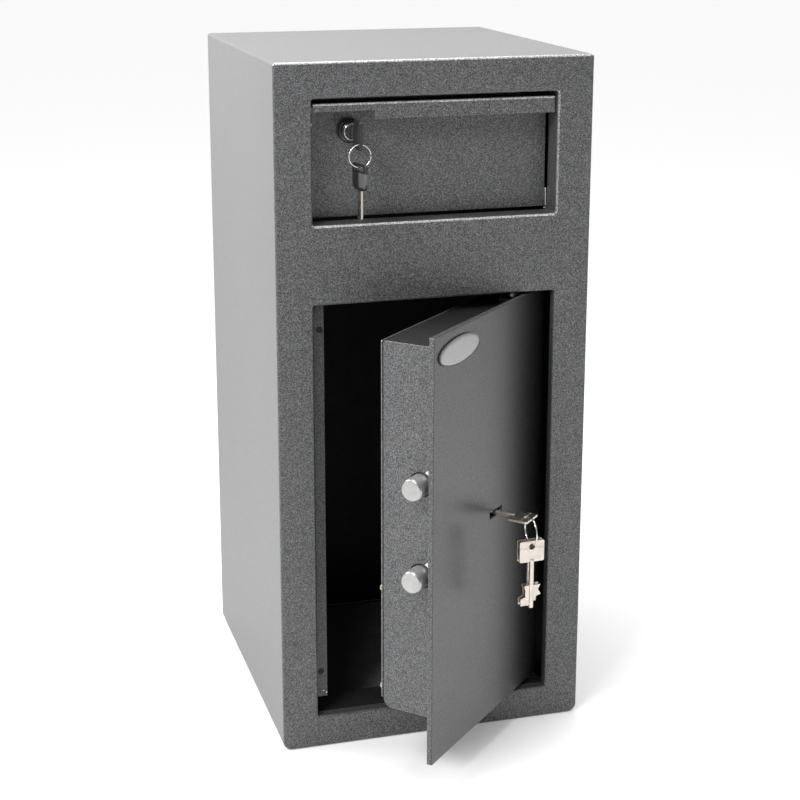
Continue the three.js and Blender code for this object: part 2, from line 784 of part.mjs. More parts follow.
function buildDrawerLock() {
  const bore = plugRadius + gap;
  const housing = lathedAlongY([
    [bore, lockFaceSetback], [lockFaceRadius, lockFaceSetback], [lockFaceRadius, lockFlangeSetback],
    [lockFlangeRadius, lockFlangeSetback], [lockFlangeRadius, panelSetback - gap],
    [lockBarrelRadius, panelSetback - gap], [lockBarrelRadius, lockBarrelRear],
    [bore, lockBarrelRear], [bore, lockFaceSetback],
  ], camLockX, camLockZ, fineSteps);
  place(drawer, 'drawer_lock_housing', housing, blackMetal);

  const nutFront = panelSetback + panelSheet + gap;
  const nutRear = nutFront + lockNutThickness;
  const hexagon = 6;
  const nut = cut(
    rodAlongY(lockNutRadius, camLockX, behind(nutFront), behind(nutRear), camLockZ, hexagon),
    [rodAlongY(
      lockBarrelRadius + gap, camLockX, behind(nutFront - overrun), behind(nutRear + overrun), camLockZ,
      fineSteps,
    )],
  );
  place(drawer, 'drawer_lock_nut', nut, steel);

  const plugFront = lockFaceSetback + plugRecess;
  const bladeTip = lockFaceSetback - bladeExposure + bladeLength;
  const keyway = block(
    camLockX - bladeThickness / 2 - gap, camLockX + bladeThickness / 2 + gap,
    behind(plugFront - overrun), behind(bladeTip + gap),
    camLockZ - bladeWidth / 2 - gap, camLockZ + bladeWidth / 2 + gap,
  );
  const screwTip = camRear - camScrewLength;
  const tapping = rodAlongY(
    camScrewRadius + gap, camLockX, behind(screwTip - gap), behind(plugRear + overrun), camLockZ,
  );
  const plug = rodAlongY(plugRadius, camLockX, behind(plugFront), behind(plugRear), camLockZ, fineSteps);
  place(drawer, 'drawer_lock_plug', cut(plug, [keyway, tapping]), steel);

  const camShape = roundedShape(
    camLockX - camHalfWidth, camLockX + camHalfWidth, camLockZ - camLength, camLockZ + camHalfWidth,
    camHalfWidth - bendRadius,
  );
  const camHole = new THREE.Path();
  camShape.holes.push(camHole.absarc(camLockX, camLockZ, camScrewRadius + gap, 0, Math.PI * 2, false));
  place(drawer, 'drawer_lock_cam', frontPlate(camShape, camFront, camRear, wireSteps), zinc);

  const headFront = camRear + gap;
  const headRear = headFront + camScrewHeadHeight;
  const screw = lathedAlongY([
    [0, screwTip], [camScrewRadius, screwTip], [camScrewRadius, headFront],
    [camScrewHeadRadius, headFront], [camScrewHeadRadius, headRear], [0, headRear],
  ], camLockX, camLockZ, roundSteps);
  place(drawer, 'cam_screw', screw, steel);
}

// Cylinder key: pointing down, origin at the middle of the slot in its head, flat in the depth-z plane

function headGeometry() {
  const top = headSlotInset;
  const outline = roundedShape(
    -headWidth / 2, headWidth / 2, top - headLength, top, headShoulderRadius, headOuterRadius,
  );
  roundedHole(
    outline, -headSlotLength / 2, headSlotLength / 2, -headSlotWidth / 2, headSlotWidth / 2,
    headSlotWidth / 2 - bendRadius,
  );
  const turn = new THREE.Matrix4().makeBasis(
    new THREE.Vector3(0, unit, 0),
    new THREE.Vector3(0, 0, unit),
    new THREE.Vector3(unit, 0, 0),
  );
  return extruded(outline, headThickness).applyMatrix4(turn).translate(-headThickness / 2, 0, 0);
}

function bladeGeometry() {
  const root = headSlotInset - headLength - gap;
  const tip = headSlotInset - headLength - bladeLength;
  const half = bladeWidth / 2;
  const [flatShare, slopeShare] = bladePointShares;
  const outline = polygon([
    [-half, root], [-half, tip + half * slopeShare], [-half * flatShare, tip], [half * flatShare, tip],
    [half, tip + half * slopeShare], [half, root],
  ]);
  const turn = new THREE.Matrix4().makeBasis(
    new THREE.Vector3(0, unit, 0),
    new THREE.Vector3(0, 0, unit),
    new THREE.Vector3(unit, 0, 0),
  );
  return extruded(outline, bladeThickness).applyMatrix4(turn).translate(-bladeThickness / 2, 0, 0);
}

const headOuterEdge = lockFaceSetback - bladeExposure - headLength;
const slotDepth = headOuterEdge + headSlotInset;
const smallRingTopZ = camLockZ - headSlotLength / 2 + gap + wireRadius;
const smallRingBottomZ = smallRingTopZ - smallRingRadius * 2;
const spareSlotZ = smallRingBottomZ - headSlotWidth / 2 + wireRadius + spareHang;

function buildDrawerKeys() {
  const inserted = new THREE.Group();
  inserted.position.set(camLockX, behind(slotDepth), camLockZ);
  inserted.rotation.x = Math.PI / 2;
  drawer.add(inserted);
  place(inserted, 'drawer_key_head', headGeometry(), blackPlastic);
  place(inserted, 'drawer_key_blade', bladeGeometry(), nickel);

  const ring = new THREE.TorusGeometry(smallRingRadius, wireRadius, wireSteps, fineSteps);
  ring.rotateX(Math.PI / 2);
  const ringZ = smallRingTopZ - smallRingRadius;
  place(drawer, 'drawer_key_ring', ring.translate(camLockX, behind(slotDepth), ringZ), steel);

  const spare = new THREE.Group();
  spare.position.set(camLockX, behind(slotDepth), spareSlotZ);
  spare.rotation.z = THREE.MathUtils.degToRad(spareYaw);
  drawer.add(spare);
  place(spare, 'spare_key_head', headGeometry(), blackPlastic);
  place(spare, 'spare_key_blade', bladeGeometry(), nickel);
}

// Door, built as when shut and then turned open about its pins

const doorLeaf = new THREE.Group();
doorLeaf.position.set(-pivotX, -pivotY, 0);
door.add(doorLeaf);
door.position.set(pivotX, pivotY, 0);
door.rotation.z = THREE.MathUtils.degToRad(openAngle);

function buildDoorPlate() {
  const outline = roundedShape(-doorHalfWidth, doorHalfWidth, doorBottom, doorTop, doorCornerRadius);
  const near = behind(doorSetback - overrun);
  const far = behind(doorBack + overrun);
  const slot = block(
    keyholeX - keyholeWidth / 2, keyholeX + keyholeWidth / 2, near, far,
    keyholeZ - keyholeHeight / 2, keyholeZ + keyholeHeight / 2,
  );
  place(doorLeaf, 'door_plate', cut(frontPlate(outline, doorSetback, doorBack), [slot]), hammertone);

  const oval = new THREE.Shape();
  oval.absellipse(badgeX, badgeZ, badgeWidth / 2, badgeHeight / 2, 0, Math.PI * 2, false, 0);
  const badgeBack = doorSetback - gap;
  const badge = frontPlate(oval, badgeBack - badgeThickness, badgeBack, roundSteps);
  place(doorLeaf, 'badge_plate', badge, badgeSilver);
}

function panShape(inset, front0, back0) {
  const shape = new THREE.Shape();
  const low = panBottom + inset;
  const high = panTop - inset;
  const footBend = panFootBendRadius - inset;
  const headBend = panHeadBendRadius - inset;
  shape.moveTo(front0, low);
  shape.lineTo(back0 - footBend, low);
  shape.absarc(back0 - footBend, low + footBend, footBend, -Math.PI / 2, 0, false);
  shape.lineTo(back0, high - headBend);
  shape.absarc(back0 - headBend, high - headBend, headBend, 0, Math.PI / 2, false);
  shape.lineTo(front0, high);
  return shape;
}

function buildPan() {
  const outer = sidePlate(panShape(0, panFront, panBack), -panHalfWidth, panHalfWidth);
  const hollow = sidePlate(
    panShape(panSheet, panFront - overrun, panBack - panSheet),
    panSheet - panHalfWidth, panHalfWidth - panSheet,
  );
  const windowX = panHalfWidth - panWindowMarginX;
  const window = block(
    -windowX, windowX, behind(panBack - panSheet - overrun), behind(panBack + overrun),
    panBottom + panWindowMarginZ, panTop - panWindowMarginZ,
  );
  const boltHoles = boltZ.map((z) => rodAlongX(
    boltHoleRadius, -panHalfWidth - overrun, overrun + panSheet - panHalfWidth, behind(boltDepth), z,
  ));
  const screwHoles = [-coverScrewX, coverScrewX].flatMap((x) => coverScrewZ.map((z) => rodAlongY(
    coverScrewRadius + gap, x, behind(panBack - panSheet - overrun), behind(panBack + overrun), z,
  )));
  place(doorLeaf, 'door_pan', cut(outer, [hollow, window, ...boltHoles, ...screwHoles]), hammertone);
}

function buildCover() {
  const outline = roundedShape(
    coverInset - panHalfWidth, panHalfWidth - coverInset, panBottom + coverFootInset, panTop - coverInset,
    coverCornerRadius,
  );
  const screws = [-coverScrewX, coverScrewX].flatMap((x) => coverScrewZ.map((z) => [x, z]));
  const holes = screws.map(([x, z]) => rodAlongY(
    coverScrewRadius + gap, x, behind(coverFront - overrun), behind(coverBack + overrun), z,
  ));
  place(doorLeaf, 'door_back_cover', cut(frontPlate(outline, coverFront, coverBack), holes), hammertone);

  const headFront = coverBack + gap;
  const headRear = headFront + coverScrewHeadHeight;
  screws.forEach(([x, z], index) => {
    const screw = lathedAlongY([
      [0, headFront - coverScrewLength], [coverScrewRadius, headFront - coverScrewLength],
      [coverScrewRadius, headFront], [coverScrewHeadRadius, headFront],
      [coverScrewHeadRadius, headFront + coverScrewHeadHeight / 2],
      [coverScrewRadius, headRear], [0, headRear],
    ], x, z, roundSteps);
    place(doorLeaf, `cover_screw_${index + 1}`, screw, yellowZinc);
  });
}

function buildPivots() {
  const near = behind(doorBack + gap);
  const reach = pivotY + lugReach;
  const left = pivotX - lugHalfWidth;
  const right = pivotX + lugHalfWidth;

  const lowerSeat = doorOpeningBottom + gap + bushHeight + gap;
  const lowerCollarTop = lowerSeat + collarThickness;
  const lowerLug = lowerCollarTop + gap;
  const lowerFlangeTop = lowerLug + lowerLugFlangeHeight;
  const lowerPinTop = lowerLug + lugThickness + pinPassLength;
  const lowerPlate = join([
    block(left, right, near, reach, lowerLug, lowerLug + lugThickness),
    block(left, right, near, near + sheet, lowerLug + sheet, lowerFlangeTop),
  ]);
  const lowerHole = rodAlongZ(
    pinRadius + gap, pivotX, pivotY, lowerLug - overrun, lowerLug + lugThickness + overrun,
  );
  place(doorLeaf, 'hinge_lug_lower', cut(lowerPlate, [lowerHole]), innerGrey);
  const lowerPin = join([
    rodAlongZ(pinRadius, pivotX, pivotY, doorOpeningBottom - sheet + gap, lowerPinTop),
    rodAlongZ(collarRadius, pivotX, pivotY, lowerSeat, lowerCollarTop),
  ]);
  place(doorLeaf, 'pivot_pin_lower', lowerPin, steel);

  const upperLug = panTop + gap;
  const upperLugTop = upperLug + lugThickness;
  const upperHole = rodAlongZ(pinRadius + gap, pivotX, pivotY, upperLug - overrun, upperLugTop + overrun);
  const upperPlate = block(left, right, near, reach, upperLug, upperLugTop);
  place(doorLeaf, 'hinge_lug_upper', cut(upperPlate, [upperHole]), innerGrey);
  const upperCollar = upperLugTop + gap;
  const upperPin = join([
    rodAlongZ(pinRadius, pivotX, pivotY, upperLug + gap, bracketBottom + pinSeatDepth - gap),
    rodAlongZ(collarRadius, pivotX, pivotY, upperCollar, upperCollar + collarThickness),
  ]);
  place(doorLeaf, 'pivot_pin_upper', upperPin, steel);
}

// Boltwork and lock inside the door

function buildBoltwork() {
  const caseLeft = keyholeX - lockCaseHalfWidth;
  const caseRight = keyholeX + lockCaseHalfWidth;
  const boltTipX = strikeEdge - boltEngagement;
  const boltBarX = caseLeft - boltBarClearance - boltThrow - boltBarThickness;
  const boltEnd = boltBarX - gap;
  const names = ['bolt_lower', 'bolt_upper'];
  boltZ.forEach((z, index) => {
    const bolt = axisRod(boltRadius, boltTipX + boltTipChamfer, boltEnd, fineSteps);
    const tip = new THREE.CylinderGeometry(
      boltRadius, boltRadius - boltTipChamfer, boltTipChamfer, fineSteps,
    ).translate(0, boltTipX + boltTipChamfer / 2, 0);
    const rod = join([bolt, tip]).rotateZ(-Math.PI / 2).translate(0, behind(boltDepth), z);
    place(doorLeaf, names[index], rod, steel);

    const guideLeft = panSheet + gap - panHalfWidth;
    const guideY = behind(doorBack + gap * 3);
    const guide = cut(
      block(
        guideLeft, guideLeft + guideLength, guideY, guideY + guideDepth,
        z - guideHalfHeight, z + guideHalfHeight,
      ),
      [rodAlongX(
        boltRadius + guidePlay, guideLeft - overrun, guideLeft + guideLength + overrun, behind(boltDepth), z,
        fineSteps,
      )],
    );
    place(doorLeaf, names[index].replace('bolt', 'bolt_guide'), guide, zinc);
  });

  const keyTip = doorSetback - keyExposure - bowLength + keyLength;
  const socketRadius = shaftRadius + gap + keySocketWall;
  const boltArmEndX = keyholeX - socketRadius - boltArmRunning - boltThrow;
  const armFront = keyTip + boltArmRunning;
  const armRear = armFront + boltArmThickness;
  const bar = block(
    boltBarX, boltBarX + boltBarThickness, behind(boltDepth - boltRadius), behind(armRear),
    boltZ[0] - boltRadius - boltBarOverlap, boltZ[1] + boltRadius + boltBarOverlap,
  );
  const arm = block(
    boltBarX + boltBarThickness / 2, boltArmEndX, behind(armFront), behind(armRear),
    keyholeZ - boltArmHeight / 2, keyholeZ + boltArmHeight / 2,
  );
  place(doorLeaf, 'bolt_bar', join([bar, arm]), zinc);

  const caseFront = doorBack + gap;
  const caseRear = caseFront + lockCaseDepth;
  const shell = block(
    caseLeft, caseRight, behind(caseFront), behind(caseRear),
    keyholeZ - lockCaseHalfHeight, keyholeZ + lockCaseHalfHeight,
  );
  const hollow = block(
    caseLeft + lockCaseWall, caseRight - lockCaseWall,
    behind(caseFront - overrun), behind(caseRear - lockCaseWall),
    lockCaseWall + keyholeZ - lockCaseHalfHeight, keyholeZ + lockCaseHalfHeight - lockCaseWall,
  );
  const armWindow = block(
    caseLeft - overrun, caseLeft + lockCaseWall + overrun,
    behind(armFront - boltArmRunning), behind(armRear + boltArmRunning),
    keyholeZ - boltArmHeight / 2 - boltArmRunning, keyholeZ + boltArmHeight / 2 + boltArmRunning,
  );
  const socketFront = keyTip - keySocketDepth;
  const socket = rodAlongY(
    socketRadius, keyholeX, behind(socketFront), behind(caseRear - lockCaseWall / 2), keyholeZ,
  );
  const socketBore = rodAlongY(
    shaftRadius + gap, keyholeX, behind(socketFront - overrun), behind(caseRear - lockCaseWall), keyholeZ,
  );
  const lockCase = cut(join([cut(shell, [hollow, armWindow]), socket]), [socketBore]);
  place(doorLeaf, 'door_lock_case', lockCase, zinc);
}

// Double-bit key: hanging down, origin at the middle of the hole in its bow, flat in the x-z plane

function doubleBitKey() {
  const top = bowHoleInset;
  const bowBottom = top - bowLength;
  const tip = top - keyLength;
  const half = bowWidth / 2;
  const bow = roundedShape(-half, half, bowBottom, top, bowCornerRadius);
  const hole = new THREE.Path();
  bow.holes.push(hole.absarc(0, 0, bowHoleRadius, 0, Math.PI * 2, false));
  const bitLow = tip + bitTipLength;
  const cuts = (riseShares, reach, reachShares) => riseShares.map(
    (share, index) => [reach * reachShares[index], bitLow + bitLength * share],
  );
  const bits = polygon([
    ...cuts(bitRightRiseShares, bitReach, bitRightReachShares),
    ...cuts(bitLeftRiseShares, -bitReach, bitLeftReachShares).reverse(),
  ]);
  const flat = (shape) => extruded(shape, bowThickness, roundSteps / 2)
    .rotateX(Math.PI / 2).translate(0, bowThickness / 2, 0);
  return join([flat(bow), flat(bits), rodAlongZ(shaftRadius, 0, 0, tip, bowBottom + bowShaftLap)]);
}

const holeDepth = doorSetback - keyExposure - bowLength + bowHoleInset;
const ringAngle = THREE.MathUtils.degToRad(keyRingAngle);
const ringDrop = THREE.MathUtils.degToRad(keyRingDropAngle);

function buildDoorKeys() {
  const inserted = place(doorLeaf, 'door_key', doubleBitKey(), nickel);
  inserted.position.set(keyholeX, behind(holeDepth), keyholeZ);
  inserted.rotation.x = Math.PI / 2;

  const ringGroup = new THREE.Group();
  ringGroup.position.set(keyholeX, behind(holeDepth), keyholeZ);
  ringGroup.rotation.z = -Math.PI / 2 - ringAngle;
  doorLeaf.add(ringGroup);
  const ringReach = keyRingRadius * Math.cos(ringDrop);
  const ringDepth = keyRingRadius * Math.sin(ringDrop);
  const ring = new THREE.TorusGeometry(keyRingRadius, keyRingWire, wireSteps, fineSteps)
    .rotateX(Math.PI / 2).translate(ringReach, 0, -ringDepth);
  place(ringGroup, 'door_key_ring', ring, steel);

  const hangZ = -ringDepth - keyRingRadius - bowHoleRadius + keyRingWire + hangClearance;
  const sides = [['hanging_key_front', unit], ['hanging_key_rear', -unit]];
  for (const [name, side] of sides) {
    const key = place(ringGroup, name, doubleBitKey(), nickel);
    key.position.set(ringReach + side * hangingKeyPitch / 2, 0, hangZ);
    key.rotation.z = Math.PI / 2;
  }
}

buildCabinet();
buildFrontFrame();
buildStrikeJamb();
buildSill();
buildUpperPivotBracket();
buildCheeks();
buildChuteBack();
buildChuteApron();
buildFlap();
buildFloorMat();
buildDrawerFront();
buildTray();
buildSlides();
buildDrawerLock();
buildDrawerKeys();
buildDoorPlate();
buildPan();
buildCover();
buildPivots();
buildBoltwork();
buildDoorKeys();

const camStrike = join([
  block(
    gap - cheekX, camStrikeReach, behind(camStrikeDepth), behind(camStrikeDepth + camStrikeSheet),
    camLockZ - camStrikeHalfHeight, camLockZ + camStrikeHalfHeight,
  ),
  block(
    gap - cheekX, gap + camStrikeSheet - cheekX, behind(camStrikeDepth + camStrikeSheet / 2),
    behind(camStrikeDepth + camStrikeFlange),
    camLockZ - camStrikeHalfHeight, camLockZ + camStrikeHalfHeight,
  ),
]);
place(safeBody, 'drawer_cam_strike', camStrike, zinc);

export default part;
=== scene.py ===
import math

import bmesh
import bpy
from bpy.props import FloatProperty, FloatVectorProperty, IntProperty, PointerProperty
from mathutils import Euler, Matrix, Vector


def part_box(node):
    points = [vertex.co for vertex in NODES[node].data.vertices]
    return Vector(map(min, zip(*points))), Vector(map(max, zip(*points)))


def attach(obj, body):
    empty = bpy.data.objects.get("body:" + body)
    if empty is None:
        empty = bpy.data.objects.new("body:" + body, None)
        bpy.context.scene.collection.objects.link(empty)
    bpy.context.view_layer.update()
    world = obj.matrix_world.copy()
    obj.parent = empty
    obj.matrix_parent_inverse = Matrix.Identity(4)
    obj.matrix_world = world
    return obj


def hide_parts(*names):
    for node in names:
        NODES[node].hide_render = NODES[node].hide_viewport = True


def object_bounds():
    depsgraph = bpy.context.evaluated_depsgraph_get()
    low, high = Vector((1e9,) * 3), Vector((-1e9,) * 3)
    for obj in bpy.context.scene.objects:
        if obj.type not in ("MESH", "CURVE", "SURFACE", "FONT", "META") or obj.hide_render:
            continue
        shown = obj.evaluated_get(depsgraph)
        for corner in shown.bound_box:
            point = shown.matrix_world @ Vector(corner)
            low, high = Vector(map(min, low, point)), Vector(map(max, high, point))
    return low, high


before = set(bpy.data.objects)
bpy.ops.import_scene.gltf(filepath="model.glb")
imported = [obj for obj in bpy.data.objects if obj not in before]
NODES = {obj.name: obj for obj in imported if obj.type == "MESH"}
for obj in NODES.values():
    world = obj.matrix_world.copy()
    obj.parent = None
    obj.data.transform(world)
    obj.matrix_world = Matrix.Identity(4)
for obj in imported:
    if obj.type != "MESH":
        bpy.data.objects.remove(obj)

bl_info = {
    "name": "Drop safe dressing",
    "version": (1, 0, 0),
    "blender": (4, 5, 0),
    "location": "3D View > Sidebar > Drop Safe",
    "description": "Dresses the drop safe with its painted shells, locks, keys and finishes",
    "category": "Object",
}

CAD_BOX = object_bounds()

# Fixed places, in metres. The front face of the cabinet is the plane y = FRONT.
CABINET_DEPTH = 0.37
CABINET_HEIGHT = 0.765
FRONT = CAD_BOX[1].y - CABINET_DEPTH
HINGE = Vector((0.098, FRONT + 0.026, 0.0))
OPEN_ANGLE = math.radians(44.5)
SOFT_ANGLE = math.radians(32)
BOLT_HEIGHTS = (0.246, 0.346)
SCREW_HEIGHTS = (0.110, 0.222)
PAN_SIDE = -0.116
KEYHOLE_HEIGHT = 0.277
BOW_HOLE = Vector((0.0159, FRONT - 0.0330, KEYHOLE_HEIGHT))
RING_YAW = math.radians(-130)
RING_DROP = math.radians(45)
BOLT_AXIS = Vector((-math.cos(OPEN_ANGLE), -math.sin(OPEN_ANGLE), 0.0))
LOCK_CENTRE = (-0.0885, 0.690)
LOCK_DEPTH = 0.015
GRIP_FORWARD = Vector((0.2079, -0.9781, 0.0))
DRAWER_LEVEL = 0.55
STRIP_DEPTH = 0.0113
STRIP_SCREWS = ((-0.1265, 0.4806), (-0.1286, 0.0858))
BASE_HOLE_SIDE = 0.11
WALL_HOLE_HEIGHT = 0.64
ROD_HEIGHT = 0.724
COVER_DEPTH = 0.0732
COVER_SCREW_SIDE = 0.1105
BOLT_DEPTH = 0.026

# The hole of a hanging key has its centre this far below the lowest point of the ring's middle line.
BELOW_RING = 0.0016

# A face this square to an axis counts as flat.
FLAT = 0.97


def behind(distance):
    """The y of a point that far back from the front face."""
    return FRONT + distance


def door_turn():
    """From the shut door's place to the open door's."""
    return Matrix.Translation(HINGE) @ Matrix.Rotation(OPEN_ANGLE, 4, "Z") @ Matrix.Translation(-HINGE)


def turn_about(axis, degrees):
    """A turn about one of the three axes."""
    return Matrix.Rotation(math.radians(degrees), 4, axis)


# Settings


class PaintSettings(bpy.types.PropertyGroup):
    hammer_dark: FloatVectorProperty(
        name="Hammertone dark", description="Colour between the flecks of the hammertone paint",
        subtype="COLOR", size=3, min=0, max=1, default=(0.0235, 0.024, 0.0255),
    )
    hammer_light: FloatVectorProperty(
        name="Hammertone light", description="Colour of the flecks of the hammertone paint",
        subtype="COLOR", size=3, min=0, max=1, default=(0.116, 0.117, 0.120),
    )
    hammer_cell: FloatProperty(
        name="Hammertone cell", description="Distance from one fleck of the hammertone paint to the next",
        unit="LENGTH", subtype="DISTANCE", min=0.0005, max=0.02, default=0.0013,
    )
    # Painted highlight: folds that catch the light are painted in this lighter colour, with bright flakes.
    highlight_colour: FloatVectorProperty(
        name="Hammertone edge", description="Colour of the hammertone paint where it is thin, on the edges",
        subtype="COLOR", size=3, min=0, max=1, default=(0.27, 0.27, 0.275),
    )
    wrap_colour: FloatVectorProperty(
        name="Wrap paint", description="Colour of the smooth paint on the sides, top and back",
        subtype="COLOR", size=3, min=0, max=1, default=(0.160, 0.162, 0.160),
    )
    # Partly painted shade: this near-black colour also stands for the shade inside the cabinet.
    inner_colour: FloatVectorProperty(
        name="Inner paint", description="Colour of the dark paint inside the cabinet",
        subtype="COLOR", size=3, min=0, max=1, default=(0.0060, 0.0065, 0.0080),
    )


class MetalSettings(bpy.types.PropertyGroup):
    steel_colour: FloatVectorProperty(
        name="Turned steel", description="Colour of the bolts and pins",
        subtype="COLOR", size=3, min=0, max=1, default=(0.42, 0.42, 0.415),
    )
    nickel_colour: FloatVectorProperty(
        name="Nickel", description="Colour of the plated keys",
        subtype="COLOR", size=3, min=0, max=1, default=(0.66, 0.60, 0.54),
    )
    zinc_colour: FloatVectorProperty(
        name="Zinc plate", description="Colour of the slides, tray and lock parts",
        subtype="COLOR", size=3, min=0, max=1, default=(0.56, 0.58, 0.60),
    )
    yellow_zinc_colour: FloatVectorProperty(
        name="Yellow zinc", description="Colour of the cover's screws",
        subtype="COLOR", size=3, min=0, max=1, default=(0.66, 0.58, 0.40),
    )
    badge_colour: FloatVectorProperty(
        name="Badge silver", description="Colour of the bare oval badge",
        subtype="COLOR", size=3, min=0, max=1, default=(0.36, 0.365, 0.36),
    )


class EdgeSettings(bpy.types.PropertyGroup):
    fold_radius: FloatProperty(
        name="Fold radius", description="Outer radius of the folds round the cabinet front",
        unit="LENGTH", subtype="DISTANCE", min=0.0005, max=0.0028, default=0.0022,
    )
    sheet_radius: FloatProperty(
        name="Sheet edge radius", description="Radius on the cut edges of painted sheet",
        unit="LENGTH", subtype="DISTANCE", min=0.0001, max=0.001, default=0.0006,
    )
    plated_radius: FloatProperty(
        name="Plated edge radius", description="Radius on the edges of the small plated parts",
        unit="LENGTH", subtype="DISTANCE", min=0.00005, max=0.0005, default=0.0002,
    )
    key_radius: FloatProperty(
        name="Key edge radius", description="Radius on the tumbled edges of the keys",
        unit="LENGTH", subtype="DISTANCE", min=0.00005, max=0.0006, default=0.00035,
    )
    plastic_radius: FloatProperty(
        name="Key head radius", description="Radius on the moulded edges of the black key heads",
        unit="LENGTH", subtype="DISTANCE", min=0.0002, max=0.0015, default=0.001,
    )
    segments: IntProperty(
        name="Edge segments", description="Faces across a rounded edge", min=1, max=6, default=3,
    )


class LockSettings(bpy.types.PropertyGroup):
    bolt_radius: FloatProperty(
        name="Bolt radius", description="Radius of the round bolts",
        unit="LENGTH", subtype="DISTANCE", min=0.005, max=0.0125, default=0.012,
    )
    bolt_chamfer: FloatProperty(
        name="Bolt chamfer", description="Chamfer on the end of a bolt",
        unit="LENGTH", subtype="DISTANCE", min=0.0005, max=0.003, default=0.0015,
    )
    screw_head_radius: FloatProperty(
        name="Screw head radius", description="Radius of a screw head on the door's cover",
        unit="LENGTH", subtype="DISTANCE", min=0.002, max=0.0045, default=0.004,
    )
    screw_head_height: FloatProperty(
        name="Screw head height", description="Height of a screw head on the door's cover",
        unit="LENGTH", subtype="DISTANCE", min=0.001, max=0.003, default=0.0028,
    )
    ring_radius: FloatProperty(
        name="Door key ring radius", description="Middle radius of the ring on the door key",
        unit="LENGTH", subtype="DISTANCE", min=0.01, max=0.02, default=0.015,
    )
    ring_wire: FloatProperty(
        name="Door key ring wire", description="Radius of one turn of wire in the door key's ring",
        unit="LENGTH", subtype="DISTANCE", min=0.0002, max=0.0009, default=0.0006,
    )
    small_ring_radius: FloatProperty(
        name="Drawer key ring radius", description="Middle radius of the ring on the drawer key",
        unit="LENGTH", subtype="DISTANCE", min=0.008, max=0.014, default=0.0117,
    )
    small_ring_wire: FloatProperty(
        name="Drawer key ring wire", description="Radius of the wire of the drawer key's ring",
        unit="LENGTH", subtype="DISTANCE", min=0.0002, max=0.0007, default=0.0006,
    )


class StageSettings(bpy.types.PropertyGroup):
    floor_colour: FloatVectorProperty(
        name="Floor", description="Colour of the plain pale floor",
        subtype="COLOR", size=3, min=0, max=1, default=(0.88, 0.88, 0.88),
    )
    surround: FloatProperty(
        name="Surround", description="Brightness of the plain studio round the safe",
        min=0, max=3, default=1.0,
    )
    overhead_power: FloatProperty(
        name="Overhead light", description="Power of the soft light above, in watts",
        unit="POWER", min=0, max=2000, default=24,
    )
    front_power: FloatProperty(
        name="Front light", description="Power of the soft light in front on the left, in watts",
        unit="POWER", min=0, max=2000, default=36,
    )
    side_power: FloatProperty(
        name="Left light", description="Power of the soft light on the left, in watts",
        unit="POWER", min=0, max=2000, default=3,
    )
    camera_place: FloatVectorProperty(
        name="Camera place", description="Where the camera stands",
        subtype="TRANSLATION", unit="LENGTH", size=3, default=(-0.5409, -1.8885, 0.9411),
    )
    camera_yaw: FloatProperty(
        name="Camera yaw", description="Turn of the camera to the right of straight on",
        subtype="ANGLE", unit="ROTATION", default=math.radians(16.05),
    )
    camera_pitch: FloatProperty(
        name="Camera pitch", description="Tilt of the camera below the horizon",
        subtype="ANGLE", unit="ROTATION", default=math.radians(14.31),
    )
    camera_lens: FloatProperty(
        name="Lens", description="Focal length on a 36 mm sensor, in millimetres",
        min=20, max=200, default=77.11,
    )
    shift_x: FloatProperty(
        name="Shift across", description="Sideways shift of the lens", min=-0.2, max=0.2, default=0.0116,
    )
    shift_y: FloatProperty(
        name="Shift up", description="Upward shift of the lens", min=-0.2, max=0.2, default=-0.1,
    )


def settings():
    """The add-on's settings in this scene."""
    return bpy.context.scene.drop_safe


class SafeSettings(bpy.types.PropertyGroup):
    paint: PointerProperty(type=PaintSettings, name="Paint", description="Painted finishes")
    metal: PointerProperty(type=MetalSettings, name="Metal", description="Metal finishes")
    edges: PointerProperty(type=EdgeSettings, name="Edges", description="Radii of folds and edges")
    locks: PointerProperty(type=LockSettings, name="Locks", description="Sizes of bolts, screws and rings")
    stage: PointerProperty(type=StageSettings, name="Stage", description="Floor, lights and camera")


# Finishes


def add_node(tree, kind, options=None, inputs=None):
    """One node, with its options, and its inputs by name or number: a value, or another node's output."""
    made = tree.nodes.new(kind)
    for key, value in (options or {}).items():
        setattr(made, key, value)
    for key, value in (inputs or {}).items():
        if isinstance(value, bpy.types.NodeSocket):
            tree.links.new(value, made.inputs[key])
        else:
            made.inputs[key].default_value = value
    return made


def new_finish(name, **sockets):
    """A material with its shader's own sockets set, its tree and the piece's own coordinates."""
    made = bpy.data.materials.new(name)
    made.use_nodes = True
    tree = made.node_tree
    shader = tree.nodes["Principled BSDF"]
    for key, value in sockets.items():
        label = key.replace("_", " ")
        shader.inputs[label].default_value = value
    spot = add_node(tree, "ShaderNodeTexCoord").outputs["Object"]
    return made, tree, shader, spot


def noise(tree, spot, size, detail=2.0, rough=0.5, distortion=0.0):
    """Noise whose features are about that size, in metres."""
    return add_node(tree, "ShaderNodeTexNoise", inputs={
        "Vector": spot, "Scale": 1 / size, "Detail": detail, "Roughness": rough, "Distortion": distortion,
    }).outputs["Fac"]


def spread(tree, value, low, high, to_low=0.0, to_high=1.0):
    """A value's range from low to high, stretched over another range."""
    return add_node(tree, "ShaderNodeMapRange", {"clamp": True}, {
        "Value": value, "From Min": low, "From Max": high, "To Min": to_low, "To Max": to_high,
    }).outputs["Result"]


def reckon(tree, operation, one, other):
    """The result of a maths node on two values."""
    return add_node(tree, "ShaderNodeMath", {"operation": operation}, {0: one, 1: other}).outputs[0]


def blend_colours(tree, share, one, other):
    """The one colour where the share is 0, and the other where it is 1."""
    made = add_node(tree, "ShaderNodeMix", {"data_type": "RGBA"}, {0: share})
    for index, value in ((6, one), (7, other)):
        if isinstance(value, bpy.types.NodeSocket):
            tree.links.new(value, made.inputs[index])
        else:
            made.inputs[index].default_value = (*value, 1)
    return made.outputs[2]


